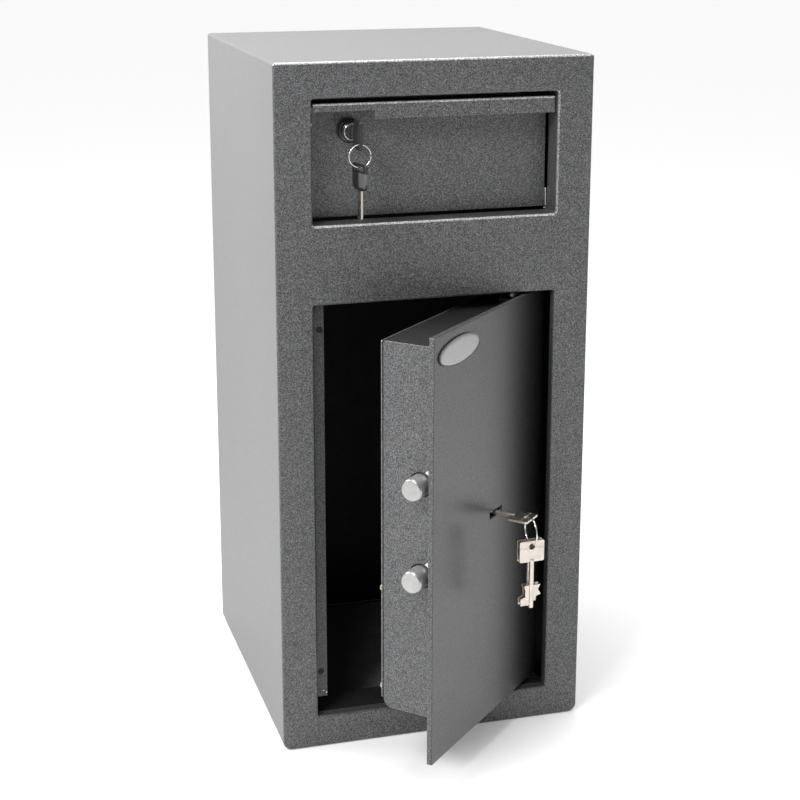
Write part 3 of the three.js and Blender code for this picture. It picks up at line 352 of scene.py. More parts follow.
def bump(tree, shader, height, depth, strength=1.0):
    """Gives the surface a relief of that depth, in metres."""
    made = add_node(tree, "ShaderNodeBump", inputs={
        "Strength": strength, "Distance": depth, "Height": height,
    })
    tree.links.new(made.outputs["Normal"], shader.inputs["Normal"])


def shade(colour, share):
    """A colour made darker or lighter by a share."""
    return tuple(part * share for part in colour)


def set_colour(tree, shader, share, one, other):
    """The surface has the one colour where the share is 0, and the other where it is 1."""
    tree.links.new(blend_colours(tree, share, one, other), shader.inputs["Base Color"])


def set_roughness(tree, shader, value, at_low, at_high, low=0.3, high=0.7):
    """The surface's roughness goes from one figure to another as a value goes from low to high."""
    tree.links.new(spread(tree, value, low, high, at_low, at_high), shader.inputs["Roughness"])


def weighted_sum(tree, one, one_weight, other, other_weight):
    """The sum of two values, each times its weight."""
    first = reckon(tree, "MULTIPLY", one, one_weight)
    second = reckon(tree, "MULTIPLY", other, other_weight)
    return reckon(tree, "ADD", first, second)


def stretched(tree, spot, scale, angle=0.0):
    """Coordinates turned about the upright by the angle and then stretched, for grain in one direction."""
    return add_node(tree, "ShaderNodeMapping", {"vector_type": "TEXTURE"}, {
        "Vector": spot, "Rotation": (0, 0, angle), "Scale": scale,
    }).outputs["Vector"]


FINISHES = {}


def finish(name):
    """The named finish, made on first use."""
    if name not in FINISHES:
        FINISHES[name] = MAKERS[name]()
    return FINISHES[name]


def hammered_paint(name, contrast, rough, coat, depth, tone=1.0):
    """Hammertone paint: pale flecks that run together on a dark ground, over a dimpled surface."""
    paint = settings().paint
    made, tree, shader, spot = new_finish(
        name, Metallic=0.25, Coat_Weight=coat, Coat_Roughness=0.22, Specular_IOR_Level=0.5,
    )
    cell = paint.hammer_cell
    flecks = noise(tree, spot, cell, 1.5, 0.55, 0.4)
    sparks = spread(tree, noise(tree, spot, cell * 0.7, 1.0, 0.5), 0.60, 0.72)
    broad = noise(tree, spot, cell * 60, 2.0, 0.5)
    fleck_share = spread(tree, flecks, 0.5 - 0.09 / contrast, 0.5 + 0.12 / contrast)
    fleck_share = reckon(tree, "MULTIPLY", fleck_share, spread(tree, broad, 0.3, 0.7, 0.88, 1.0))
    dark = shade(paint.hammer_dark, tone)
    light = shade(paint.hammer_light, tone)
    colour = blend_colours(tree, fleck_share, dark, light)
    set_colour(tree, shader, reckon(tree, "MULTIPLY", sparks, contrast), colour, shade(light, 2.2))
    set_roughness(tree, shader, flecks, rough + 0.08, rough - 0.06)
    dimples = add_node(tree, "ShaderNodeTexVoronoi", {"feature": "SMOOTH_F1"}, {
        "Vector": spot, "Scale": 0.6 / cell, "Smoothness": 0.6,
    }).outputs["Distance"]
    height = reckon(tree, "ADD", reckon(tree, "MULTIPLY", dimples, 0.6), flecks)
    bump(tree, shader, height, depth)
    return made


def hammertone():
    return hammered_paint("hammertone", contrast=1.0, rough=0.40, coat=0.35, depth=0.00040)


def recessed_hammertone():
    """The same paint made darker behind the door opening: painted shade for the recess."""
    return hammered_paint(
        "recessed_hammertone", contrast=0.8, rough=0.45, coat=0.2, depth=0.00030, tone=0.68,
    )


def door_face_paint():
    """The same paint on the door's flat face, sprayed thicker and lying smoother. On the upward faces of
    the pan and the sill it is painted shade.
    """
    return hammered_paint(
        "door_face_paint", contrast=0.6, rough=0.36, coat=0.42, depth=0.00013, tone=0.36,
    )


def highlight_paint(name, tone):
    """Painted highlight on a folded edge: hammertone colour made lighter, with bright flakes, where the
    fold catches the light.
    """
    paint = settings().paint
    made, tree, shader, spot = new_finish(name, Metallic=0.45, Coat_Weight=0.4, Coat_Roughness=0.2)
    flecks = noise(tree, spot, paint.hammer_cell, 1.5, 0.6)
    colour = shade(paint.highlight_colour, tone)
    dark = shade(colour, 0.8)
    light = shade(colour, 2.8)
    set_colour(tree, shader, spread(tree, flecks, 0.42, 0.62), dark, light)
    set_roughness(tree, shader, flecks, 0.42, 0.28)
    bump(tree, shader, flecks, 0.0002)
    return made


def edge_paint():
    return highlight_paint("edge_paint", 1.0)


def faint_edge_paint():
    return highlight_paint("faint_edge_paint", 0.5)


def smooth_paint():
    """Smooth grey paint with a faint orange peel."""
    colour = tuple(settings().paint.wrap_colour)
    made, tree, shader, spot = new_finish("smooth_paint", Specular_IOR_Level=0.4)
    cloud = noise(tree, spot, 0.12, 3.0, 0.5)
    darker = shade(colour, 0.94)
    set_colour(tree, shader, cloud, darker, colour)
    peel = noise(tree, spot, 0.0022, 2.0, 0.5)
    set_roughness(tree, shader, peel, 0.50, 0.42)
    bump(tree, shader, peel, 0.00005)
    return made


def inner_paint():
    """Near-black paint of the inside: dark paint with the shade of the interior painted into it, and dust
    in its grain.
    """
    colour = tuple(settings().paint.inner_colour)
    made, tree, shader, spot = new_finish("inner_paint", Specular_IOR_Level=0.35)
    cloud = spread(tree, noise(tree, spot, 0.02, 4.0, 0.6), 0.35, 0.75)
    lighter = shade(colour, 1.9)
    set_colour(tree, shader, cloud, colour, lighter)
    grain = noise(tree, spot, 0.0025, 2.0, 0.5)
    set_roughness(tree, shader, grain, 0.62, 0.48)
    bump(tree, shader, grain, 0.00012)
    return made


def plated(name, colour, rough, spangle, drawn, drawn_scale):
    """Plated metal: faint spangle, and fine marks along the direction it was drawn."""
    made, tree, shader, spot = new_finish(name, Metallic=1.0)
    patches = add_node(tree, "ShaderNodeTexVoronoi", {"feature": "F1"}, {
        "Vector": spot, "Scale": 1 / spangle,
    }).outputs["Color"]
    tone = add_node(tree, "ShaderNodeSeparateColor", inputs={0: patches}).outputs[0]
    marks = noise(tree, stretched(tree, spot, drawn_scale), drawn, 3.0, 0.6)
    mixed = weighted_sum(tree, tone, 0.4, marks, 0.6)
    darker = shade(colour, 0.78)
    set_colour(tree, shader, mixed, darker, colour)
    set_roughness(tree, shader, mixed, rough + 0.1, rough - 0.06, 0.2, 0.8)
    bump(tree, shader, marks, 0.00003, 0.6)
    return made


def zinc():
    return plated(
        "zinc", tuple(settings().metal.zinc_colour),
        rough=0.34, spangle=0.007, drawn=0.0012, drawn_scale=(1, 12, 1),
    )


def yellow_zinc():
    return plated(
        "yellow_zinc", tuple(settings().metal.yellow_zinc_colour),
        rough=0.3, spangle=0.004, drawn=0.0008, drawn_scale=(1, 1, 1),
    )


def nickel():
    return plated(
        "nickel", tuple(settings().metal.nickel_colour),
        rough=0.3, spangle=0.005, drawn=0.0005, drawn_scale=(1, 1, 9),
    )


def ring_wire():
    return plated(
        "ring_wire", (0.74, 0.73, 0.71),
        rough=0.2, spangle=0.003, drawn=0.0004, drawn_scale=(1, 1, 3),
    )


def bare_metal():
    """Bright metal laid bare by rubbing; on the ends of the slides the same bright finish is a painted
    highlight.
    """
    made, tree, shader, spot = new_finish("bare_metal", Metallic=0.35)
    marks = noise(tree, spot, 0.0012, 3.0, 0.6)
    set_colour(tree, shader, marks, (0.62, 0.62, 0.61), (0.85, 0.85, 0.84))
    set_roughness(tree, shader, marks, 0.4, 0.28)
    return made


def rough_steel():
    """The long side of a bolt, turned but not polished."""
    made, tree, shader, spot = new_finish("rough_steel", Metallic=0.85)
    marks = noise(tree, stretched(tree, spot, (0.35, 9, 9), OPEN_ANGLE), 0.0012, 3.0, 0.6)
    set_colour(tree, shader, marks, (0.42, 0.42, 0.42), (0.66, 0.66, 0.65))
    set_roughness(tree, shader, marks, 0.48, 0.36)
    bump(tree, shader, marks, 0.00003)
    return made


def turned_steel():
    """Turned steel of a bolt or pin: fine rings on its ends and fine bands on its length."""
    made, tree, shader, spot = new_finish("turned_steel", Metallic=1.0)
    colour = tuple(settings().metal.steel_colour)
    marks = noise(tree, stretched(tree, spot, (0.35, 9, 9), OPEN_ANGLE), 0.0015, 3.0, 0.6)
    stains = noise(tree, spot, 0.009, 3.0, 0.6)
    mixed = weighted_sum(tree, marks, 0.65, stains, 0.35)
    darker = shade(colour, 0.8)
    set_colour(tree, shader, spread(tree, mixed, 0.3, 0.7), darker, colour)
    set_roughness(tree, shader, mixed, 0.34, 0.22)
    bump(tree, shader, marks, 0.00003, 0.7)
    return made


def black_enamel():
    """Gloss black finish of the lock's housing, rubbed paler in places."""
    made, tree, shader, spot = new_finish(
        "black_enamel", Metallic=0.5, Coat_Weight=0.6, Coat_Roughness=0.12,
    )
    rubbed = spread(tree, noise(tree, spot, 0.004, 4.0, 0.65), 0.58, 0.78)
    set_colour(tree, shader, rubbed, (0.012, 0.012, 0.014), (0.09, 0.09, 0.095))
    set_roughness(tree, shader, rubbed, 0.28, 0.4, 0.0, 1.0)
    bump(tree, shader, rubbed, 0.00003)
    return made


def worn_brass():
    """Dark tarnished plug of the cam lock, with bright patches that are partly rubbed metal and partly
    painted glints.
    """
    made, tree, shader, spot = new_finish("worn_brass", Metallic=0.8, Coat_Weight=0.2, Coat_Roughness=0.2)
    # Rubbed metal and painted glints: bright patches on the dark plug.
    rubbed = spread(tree, noise(tree, spot, 0.0032, 3.0, 0.6, 0.8), 0.56, 0.64)
    set_colour(tree, shader, rubbed, (0.05, 0.05, 0.052), (0.55, 0.54, 0.52))
    set_roughness(tree, shader, rubbed, 0.45, 0.25, 0.0, 1.0)
    bump(tree, shader, rubbed, 0.00004)
    return made


def moulded_plastic():
    """Black moulded plastic of the key heads, lightly grained."""
    made, tree, shader, spot = new_finish("moulded_plastic", Specular_IOR_Level=0.5)
    grain = noise(tree, spot, 0.0007, 2.0, 0.5)
    cloud = noise(tree, spot, 0.006, 3.0, 0.5)
    set_colour(tree, shader, cloud, (0.008, 0.008, 0.009), (0.02, 0.02, 0.022))
    set_roughness(tree, shader, grain, 0.45, 0.32)
    bump(tree, shader, grain, 0.00004)
    return made


def rubbed_plastic():
    """The same plastic in a lighter grey on part of a key head's face: a painted sheen."""
    made, tree, shader, spot = new_finish("rubbed_plastic", Specular_IOR_Level=0.5)
    cloud = noise(tree, spot, 0.004, 2.0, 0.5)
    set_colour(tree, shader, cloud, (0.075, 0.075, 0.077), (0.105, 0.105, 0.107))
    set_roughness(tree, shader, cloud, 0.4, 0.3)
    return made


def badge_silver():
    """Brushed silver of the bare badge."""
    made, tree, shader, spot = new_finish(
        "badge_silver", Metallic=0.6, Coat_Weight=0.3, Coat_Roughness=0.15,
    )
    colour = tuple(settings().metal.badge_colour)
    marks = noise(tree, stretched(tree, spot, (14, 14, 0.8)), 0.002, 3.0, 0.6)
    darker = shade(colour, 0.9)
    set_colour(tree, shader, marks, darker, colour)
    set_roughness(tree, shader, marks, 0.42, 0.34)
    bump(tree, shader, marks, 0.00002)
    return made


def badge_rim():
    """Dark lacquered rim of the badge."""
    made, tree, shader, spot = new_finish("badge_rim", Coat_Weight=0.4, Coat_Roughness=0.1)
    cloud = noise(tree, spot, 0.003, 2.0, 0.5)
    set_colour(tree, shader, cloud, (0.015, 0.015, 0.017), (0.04, 0.04, 0.042))
    set_roughness(tree, shader, cloud, 0.35, 0.25)
    return made


def felt():
    """Needled felt of the floor mat, trodden flat, with painted light that makes it lighter towards the
    hinge side.
    """
    made, tree, shader, spot = new_finish("felt", Sheen_Weight=0.3, Specular_IOR_Level=0.15)
    fibres = noise(tree, stretched(tree, spot, (1, 3, 1), 0.5), 0.0016, 4.0, 0.7, 1.5)
    trodden = spread(tree, noise(tree, spot, 0.03, 4.0, 0.6), 0.35, 0.7)
    both = weighted_sum(tree, fibres, 0.8, trodden, 0.2)
    parts = add_node(tree, "ShaderNodeSeparateXYZ", inputs={0: spot}).outputs
    # Painted light: past this slanting line the felt turns lighter, towards the hinge side.
    slant = 0.32
    line = reckon(tree, "SUBTRACT", parts["X"], reckon(tree, "MULTIPLY", parts["Y"], slant))
    start = -0.08 - slant * behind(0.115)
    lit_share = spread(tree, line, start, start + 0.045)
    share = spread(tree, both, 0.25, 0.75)
    clean = blend_colours(tree, share, (0.004, 0.004, 0.004), (0.014, 0.0138, 0.0135))
    lit_felt = blend_colours(tree, share, (0.06, 0.059, 0.058), (0.34, 0.335, 0.325))
    set_colour(tree, shader, lit_share, clean, lit_felt)
    set_roughness(tree, shader, fibres, 0.98, 0.85)
    bump(tree, shader, fibres, 0.0008)
    return made


def pale_floor():
    """The plain pale floor of the stage."""
    made, tree, shader, spot = new_finish(
        "pale_floor", Roughness=0.9, Specular_IOR_Level=0.1,
        Emission_Color=(1, 1, 1, 1), Emission_Strength=0.12,
    )
    colour = tuple(settings().stage.floor_colour)
    cloud = noise(tree, spot, 1.5, 2.0, 0.5)
    darker = shade(colour, 0.99)
    set_colour(tree, shader, cloud, darker, colour)
    return made


MAKERS = {
    maker.__name__: maker for maker in (
        hammertone, recessed_hammertone, door_face_paint, edge_paint, faint_edge_paint, smooth_paint,
        inner_paint, zinc, yellow_zinc, nickel, ring_wire, bare_metal, rough_steel, turned_steel,
        black_enamel, worn_brass, moulded_plastic, rubbed_plastic, badge_silver, badge_rim, felt,
        pale_floor,
    )
}


# Pieces and shapes


def add_piece(name, bm, finish_name, body, nodes=()):
    """A mesh made into a piece that rides on a body and stands for CAD nodes."""
    mesh = bpy.data.meshes.new(name)
    bm.to_mesh(mesh)
    bm.free()
    return piece_from_mesh(name, mesh, finish_name, body, nodes)


def piece_from_mesh(name, mesh, finish_name, body, nodes=()):
    """A plain mesh made into a piece in the same way."""
    mesh.name = name
    mesh.materials.clear()
    mesh.materials.append(finish(finish_name))
    piece = bpy.data.objects.new(name, mesh)
    bpy.context.scene.collection.objects.link(piece)
    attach(piece, body)
    if nodes:
        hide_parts(*nodes)
    return piece


def across(*values, axis=2):
    """Planes square to an axis, which part a sheet through its holes."""
    normal = Vector([float(index == axis) for index in range(3)])
    return [(normal * value, normal) for value in values]


def welded(node, cuts):
    """A clean copy of a CAD node: doubles merged, and flat areas joined up on each side of the cuts."""
    bm = bmesh.new()
    bm.from_mesh(NODES[node].data)
    bmesh.ops.remove_doubles(bm, verts=bm.verts[:], dist=2e-6)
    for point, normal in cuts:
        parted = bmesh.ops.bisect_plane(
            bm, geom=bm.verts[:] + bm.edges[:] + bm.faces[:], dist=1e-6, plane_co=point, plane_no=normal,
        )
        for part in parted["geom_cut"]:
            if isinstance(part, bmesh.types.BMEdge):
                part.seam = True
    bmesh.ops.dissolve_limit(
        bm, angle_limit=math.radians(0.8), use_dissolve_boundaries=False,
        verts=bm.verts[:], edges=bm.edges[:], delimit={"SEAM"},
    )
    bmesh.ops.recalc_face_normals(bm, faces=bm.faces[:])
    return bm


def weigh_edges(bm, share_of):
    """Marks the corners that the Bevel rounds, each with its share of the full radius."""
    weights = bm.edges.layers.float.new("bevel_weight_edge")
    for face in bm.faces:
        face.smooth = True
    for edge in bm.edges:
        if len(edge.link_faces) != 2:
            continue
        corner = edge.calc_face_angle(0.0) > SOFT_ANGLE
        share = share_of(edge) if corner and edge.is_convex else 0.0
        edge[weights] = share
        edge.smooth = share > 0 or not corner


def round_edges(piece, radius):
    """Rounds the marked edges, and keeps flat faces flat in the shading."""
    rounding = piece.modifiers.new("Rounded edges", "BEVEL")
    rounding.limit_method = "WEIGHT"
    rounding.width = radius
    rounding.segments = settings().edges.segments
    rounding.use_clamp_overlap = False
    rounding.miter_outer = "MITER_ARC"
    shading = piece.modifiers.new("Flat sheet shading", "WEIGHTED_NORMAL")
    shading.mode = "FACE_AREA"
    shading.weight = 100
    shading.keep_sharp = True


def full_share(edge):
    """Every edge gets the full radius."""
    return 1.0


def rounded_copy(name, node, body, finish_name, radius, share_of=full_share, cuts=()):
    """A copy of a CAD node with its corners rounded, which stands for it."""
    bm = welded(node, cuts)
    weigh_edges(bm, share_of)
    piece = add_piece(name, bm, finish_name, body, [node])
    round_edges(piece, radius)
    return piece


def upper_fold(face):
    """Whether a face belongs to a fold that slopes up and to the front."""
    return 0.25 < face.normal.z < FLAT and face.normal.y < -0.2


def highlight_folds(piece, is_fold=upper_fold, finish_name="edge_paint"):
    """Makes the rounding part of the mesh, and paints a highlight on the folds that the test picks."""
    depsgraph = bpy.context.evaluated_depsgraph_get()
    mesh = bpy.data.meshes.new_from_object(piece.evaluated_get(depsgraph), depsgraph=depsgraph)
    mesh.name = piece.name
    piece.modifiers.clear()
    piece.data = mesh
    second_finish(piece, finish_name, is_fold)


def second_finish(piece, finish_name, applies):
    """Another finish on those faces of a piece that the test picks."""
    place = len(piece.data.materials)
    piece.data.materials.append(finish(finish_name))
    for face in piece.data.polygons:
        if applies(face):
            face.material_index = place


def eased(points, radius, steps=3):
    """A line of (across, along) points with its inner corners turned into arcs."""
    eased_points = [points[0]]
    for before, corner, after in zip(points, points[1:], points[2:]):
        here = Vector(corner)
        back = Vector(before) - here
        ahead = Vector(after) - here
        reach = min(radius, back.length * 0.45, ahead.length * 0.45)
        start = here + back.normalized() * reach
        end = here + ahead.normalized() * reach
        for step in range(steps + 1):
            share = step / steps
            bent = start.lerp(here, share).lerp(here.lerp(end, share), share)
            eased_points.append((bent.x, bent.y))
    eased_points.append(points[-1])
    return eased_points


def oval_loop(bm, place, half_width, half_height, rise, steps):
    """A loop of points round an oval, in a place."""
    loop = []
    for step in range(steps):
        angle = math.tau * step / steps
        spot = Vector((half_width * math.cos(angle), half_height * math.sin(angle), rise))
        loop.append(bm.verts.new(place @ spot))
    return loop


def prism(bm, loops):
    """A closed form through loops of points, with a face on each end."""
    made = [bm.faces.new(loops[0]), bm.faces.new(loops[-1][::-1])]
    for low, high in zip(loops, loops[1:]):
        for step in range(len(low)):
            after = (step + 1) % len(low)
            made.append(bm.faces.new((low[step], high[step], high[after], low[after])))
    bmesh.ops.recalc_face_normals(bm, faces=made)


def turned(bm, profile, place, steps):
    """A closed turned form about its own upright, from (radius, height) points, moved to its place."""
    rings = []
    for radius, height in profile:
        if radius < 1e-7:
            rings.append([bm.verts.new(place @ Vector((0, 0, height)))])
        else:
            rings.append(oval_loop(bm, place, radius, radius, height, steps))
    made = []
    for low, high in zip(rings, rings[1:]):
        for step in range(steps):
            after = (step + 1) % steps
            corners = [
                low[step % len(low)], low[after % len(low)],
                high[after % len(high)], high[step % len(high)],
            ]
            unique = list(dict.fromkeys(corners))
            if len(unique) > 2:
                made.append(bm.faces.new(unique))
    for face in made:
        face.smooth = True
    bmesh.ops.recalc_face_normals(bm, faces=made)


def sharpen(bm, angle=SOFT_ANGLE):
    """Edges that turn by more than the angle show as sharp."""
    for edge in bm.edges:
        if len(edge.link_faces) == 2:
            edge.smooth = edge.calc_face_angle(0.0) < angle


def bolt_place(height):
    """A place on the open door whose own upright runs along a bolt, towards the door's free edge."""
    return door_turn() @ Matrix.Translation((0, behind(BOLT_DEPTH), height)) @ turn_about("Y", -90)


# Geometry Nodes


def new_tree(name, sockets):
    """An empty node tree with its named inputs and a geometry output."""
    tree = bpy.data.node_groups.new(name, "GeometryNodeTree")
    tree.is_modifier = True
    tree.interface.new_socket("Geometry", in_out="OUTPUT", socket_type="NodeSocketGeometry")
    for label, kind in sockets:
        tree.interface.new_socket(label, in_out="INPUT", socket_type="NodeSocket" + kind)
    return tree, add_node(tree, "NodeGroupInput").outputs


def end_tree(tree, geometry, material_socket):
    """Every tree ends the same way: instances made real, and the finish set."""
    real = add_node(tree, "GeometryNodeRealizeInstances", inputs={0: geometry}).outputs[0]
    dressed = add_node(tree, "GeometryNodeSetMaterial", inputs={
        "Geometry": real, "Material": material_socket,
    }).outputs[0]
    add_node(tree, "NodeGroupOutput", inputs={0: dressed})


def grown_mesh(name, base, tree, values):
    """The plain mesh that a tree makes from a base mesh with these input values."""
    carrier = bpy.data.objects.new(name + "_base", base)
    bpy.context.scene.collection.objects.link(carrier)
    modifier = carrier.modifiers.new("Made by rule", "NODES")
    modifier.node_group = tree
    for item in tree.interface.items_tree:
        if item.item_type == "SOCKET" and item.in_out == "INPUT" and item.name in values:
            modifier[item.identifier] = values[item.name]
    depsgraph = bpy.context.evaluated_depsgraph_get()
    made = bpy.data.meshes.new_from_object(carrier.evaluated_get(depsgraph), depsgraph=depsgraph)
    carrier.modifiers.remove(modifier)
    bpy.data.objects.remove(carrier)
    return made


def split_ring_tree():
    """Wire wound round a circle, one turn beside the next."""
    tree, given = new_tree("split_ring", [
        ("Geometry", "Geometry"), ("Ring Radius", "Float"), ("Wire Radius", "Float"), ("Turns", "Float"),
        ("Pitch", "Float"), ("Steps", "Int"), ("Finish", "Material"),
    ])
    height = reckon(tree, "MULTIPLY", given["Turns"], given["Pitch"])
    path = add_node(tree, "GeometryNodeCurveSpiral", inputs={
        "Resolution": given["Steps"], "Rotations": given["Turns"], "Start Radius": given["Ring Radius"],
        "End Radius": given["Ring Radius"], "Height": height,
    }).outputs[0]
    wire = add_node(tree, "GeometryNodeCurvePrimitiveCircle", inputs={
        "Resolution": 12, "Radius": given["Wire Radius"],
    }).outputs[0]
    tube = add_node(tree, "GeometryNodeCurveToMesh", inputs={
        "Curve": path, "Profile Curve": wire, "Fill Caps": True,
    }).outputs[0]
    half = reckon(tree, "MULTIPLY", height, -0.5)
    middle = add_node(tree, "ShaderNodeCombineXYZ", inputs={"Z": half}).outputs[0]
    centred = add_node(tree, "GeometryNodeTransform", inputs={
        "Geometry": tube, "Translation": middle,
    }).outputs[0]
    smooth = add_node(tree, "GeometryNodeSetShadeSmooth", inputs={0: centred}).outputs[0]
    end_tree(tree, smooth, given["Finish"])
    return tree


def set_out_tree():
    """One screw set on every point of the base, each turned by its own amount."""
    tree, given = new_tree("set_out", [
        ("Geometry", "Geometry"), ("Screw", "Object"), ("Head Radius", "Float"), ("Head Height", "Float"),
        ("Seed", "Int"), ("Finish", "Material"),
    ])
    screw = add_node(tree, "GeometryNodeObjectInfo", inputs={"Object": given["Screw"]}).outputs["Geometry"]
    size = add_node(tree, "ShaderNodeCombineXYZ", inputs={
        "X": given["Head Radius"], "Y": given["Head Radius"], "Z": given["Head Height"],
    }).outputs[0]
    slot_turn = add_node(tree, "FunctionNodeRandomValue", {"data_type": "FLOAT"}, {
        2: 0.0, 3: math.tau, "Seed": given["Seed"],
    }).outputs[1]
    turn = add_node(tree, "ShaderNodeCombineXYZ", inputs={"Z": slot_turn}).outputs[0]
    points = add_node(tree, "GeometryNodeMeshToPoints", inputs={"Mesh": given["Geometry"]}).outputs[0]
    placed = add_node(tree, "GeometryNodeInstanceOnPoints", inputs={
        "Points": points, "Instance": screw, "Rotation": turn, "Scale": size,
    }).outputs[0]
    end_tree(tree, placed, given["Finish"])
    return tree


# Screws and bare patches


def screw_with_recess():
    """A unit pan head with a cross recess, radius 1 and height 1, and its shank below."""
    shank = [(0.0, -3.0), (0.5, -3.0), (0.5, 0.0)]
    dome = [(0.97, 0.0), (1.0, 0.12), (1.0, 0.35), (0.9, 0.68), (0.7, 0.9), (0.45, 0.99)]
    waist = 0.16
    arm_length = 0.27
    recess_top = 0.97
    recess_floor = 0.4
    bm = bmesh.new()
    turned(bm, shank + dome, Matrix.Identity(4), 32)
    rim = [vert for vert in bm.verts if vert.co.z > 0.985]
    rim.sort(key=lambda vert: math.atan2(vert.co.y, vert.co.x))
    cross = []
    for vert in rim:
        angle = math.atan2(vert.co.y, vert.co.x)
        arm = abs(math.cos(2 * angle)) ** 3
        reach = waist + arm_length * arm
        cross.append(bm.verts.new((reach * math.cos(angle), reach * math.sin(angle), recess_top)))
    deep = [bm.verts.new((vert.co.x * 0.8, vert.co.y * 0.8, recess_floor)) for vert in cross]
    for upper, lower in ((rim, cross), (cross, deep)):
        for step in range(len(upper)):
            after = (step + 1) % len(upper)
            bm.faces.new((upper[step], upper[after], lower[after], lower[step]))
    bm.faces.new(deep)
    bmesh.ops.recalc_face_normals(bm, faces=bm.faces[:])
    for face in bm.faces:
        face.smooth = True
    sharpen(bm, math.radians(40))
    mesh = bpy.data.meshes.new("screw")
    bm.to_mesh(mesh)
    bm.free()
    return mesh


def set_screws(name, points, radius, height, seed, finish_name):
    """Screw heads set out on the points of a mesh, each turned its own way."""
    screw = bpy.data.objects.new("screw_pattern", screw_with_recess())
    bpy.context.scene.collection.objects.link(screw)
    mesh = grown_mesh(name, points, set_out_tree(), {
        "Screw": screw, "Head Radius": radius, "Head Height": height, "Seed": seed,
        "Finish": finish(finish_name),
    })
    bpy.data.objects.remove(screw)
    return mesh


# Outline of a patch of bare metal, in millimetres
SCRAPE = (
    (-3.8, -0.2), (-2.9, 1.8), (-2.4, 0.9), (-1.7, 3.1), (-1.1, 1.5), (-0.3, 3.5), (0.4, 1.8), (1.3, 3.3),
    (1.9, 1.6), (3.3, 2.5), (3.7, 0.8), (2.4, -1.5), (1.1, -3.6), (0.2, -2.9), (-1.6, -1.5),
)
SCRAPE_RISE = 0.00012


def patch_place(point, outward):
    """A place on a surface, with its own upright pointing out of the surface."""
    outward = Vector(outward).normalized()
    side = Vector((0, 0, 1)).cross(outward).normalized()
    turn = Matrix((side, outward.cross(side), outward)).transposed().to_4x4()
    return Matrix.Translation(point) @ turn


def scraped_patch(bm, place, width=1.0, height=1.0):
    """Bare metal where the paint has been rubbed off."""
    prism(bm, [
        [bm.verts.new(place @ Vector((u * width / 1000, v * height / 1000, rise))) for u, v in SCRAPE]
        for rise in (0.0, SCRAPE_RISE)
    ])


# Cabinet and chute


def front_fold_share(edge):
    """The folds along the front face get the full radius, and the cut edges behind them a small one."""
    front = all(vert.co.y < FRONT + 1e-5 for vert in edge.verts)
    return 1.0 if front else 0.2


def drawer_side_fold(face):
    """Whether a face belongs to the fold on the right of the drawer opening."""
    beside = DRAWER_LEVEL < face.center.z < 0.74 and 0.1 < face.center.x < 0.16
    return beside and -FLAT < face.normal.x < -0.2 and face.normal.y < -0.2


class SAFE_OT_cabinet(bpy.types.Operator):
    """Makes the folded front, the wrap, the back, and the fittings behind the door opening"""

    bl_idname = "safe.cabinet"
    bl_label = "Cabinet"

    def execute(self, context):
        edges = settings().edges
        pin_cut = across(HINGE.x, axis=0)
        front = rounded_copy(
            "cabinet_front", "front_frame", "safe_body", "hammertone", edges.fold_radius,
            front_fold_share, across(0.0, axis=0),
        )
        # Painted highlights: the upward folds above the drawer level, and more faintly the left-facing fold
        # on the right of the drawer opening.
        highlight_folds(front, lambda face: upper_fold(face) and face.center.z > DRAWER_LEVEL)
        second_finish(front, "faint_edge_paint", drawer_side_fold)
        wrap = rounded_copy("cabinet_wrap", "body_wrap", "safe_body", "smooth_paint", edges.sheet_radius,
                            cuts=across(-BASE_HOLE_SIDE, BASE_HOLE_SIDE, axis=0))
        middle = Vector((0, 0, (CAD_BOX[0].z + CAD_BOX[1].z) / 2))
        # Painted shade: the wrap's inward faces take the near-black inner paint.
        second_finish(wrap, "inner_paint", lambda face: (
            abs(face.normal.y) < 0.5 and face.normal.dot(face.center - middle) < 0
        ))
        back = rounded_copy("cabinet_back", "back_plate", "safe_body", "smooth_paint", edges.sheet_radius,
                            cuts=across(WALL_HOLE_HEIGHT))
        # Painted shade on the back's inner face too.
        second_finish(back, "inner_paint", lambda face: face.normal.y < -0.5)
        # Painted shade: the strip behind the door opening takes the darker copy of the hammertone.
        rounded_copy("jamb", "strike_jamb", "safe_body", "recessed_hammertone", edges.sheet_radius * 0.8,
                     cuts=across(*sorted(height for side, height in STRIP_SCREWS)))
        spots = bpy.data.meshes.new("strip_screw_points")
        spots.from_pydata([(x, z, 0) for x, z in STRIP_SCREWS], [], [])
        screws = set_screws("strip_screws", spots, 0.0036, 0.0009, 3, "inner_paint")
        screws.transform(Matrix.Translation((0, behind(STRIP_DEPTH), 0)) @ turn_about("X", 90))
        piece_from_mesh("strip_screws", screws, "inner_paint", "safe_body")
        bm = bmesh.new()
        folded = 0.293 * edges.fold_radius
        strip = behind(STRIP_DEPTH)
        beside_drawer = (-0.135 - folded, FRONT + folded, 0.7005)
        on_top_fold = (-0.1715, FRONT + folded, CABINET_HEIGHT - folded)
        low_on_strip = (-0.1226, strip, 0.0595)
        beside_that = (-0.1262, strip, 0.0620)
        for place, outward, width, height in (
            (beside_drawer, (1, -1, 0), 0.16, 0.5),
            (on_top_fold, (0, -1, 1), 0.6, 0.25),
            (low_on_strip, (0, -1, 0), 0.16, 0.4),
            (beside_that, (0, -1, 0), 0.3, 0.12),
        ):
            scraped_patch(bm, patch_place(place, outward), width, height)
        add_piece("paint_chips", bm, "bare_metal", "safe_body", ())
        sill = rounded_copy("sill", "door_sill", "safe_body", "hammertone", edges.sheet_radius,
                            cuts=pin_cut)
        # Painted shade: the sill's upward faces take the darker door paint.
        second_finish(sill, "door_face_paint", lambda face: face.normal.z > 0.9)
        rounded_copy("pivot_bracket", "upper_pivot_bracket", "safe_body", "inner_paint",
                     edges.sheet_radius, cuts=pin_cut)
        rounded_copy("pivot_bush", "lower_pivot_bush", "safe_body", "turned_steel", edges.plated_radius,
                     cuts=pin_cut)
        return {"FINISHED"}


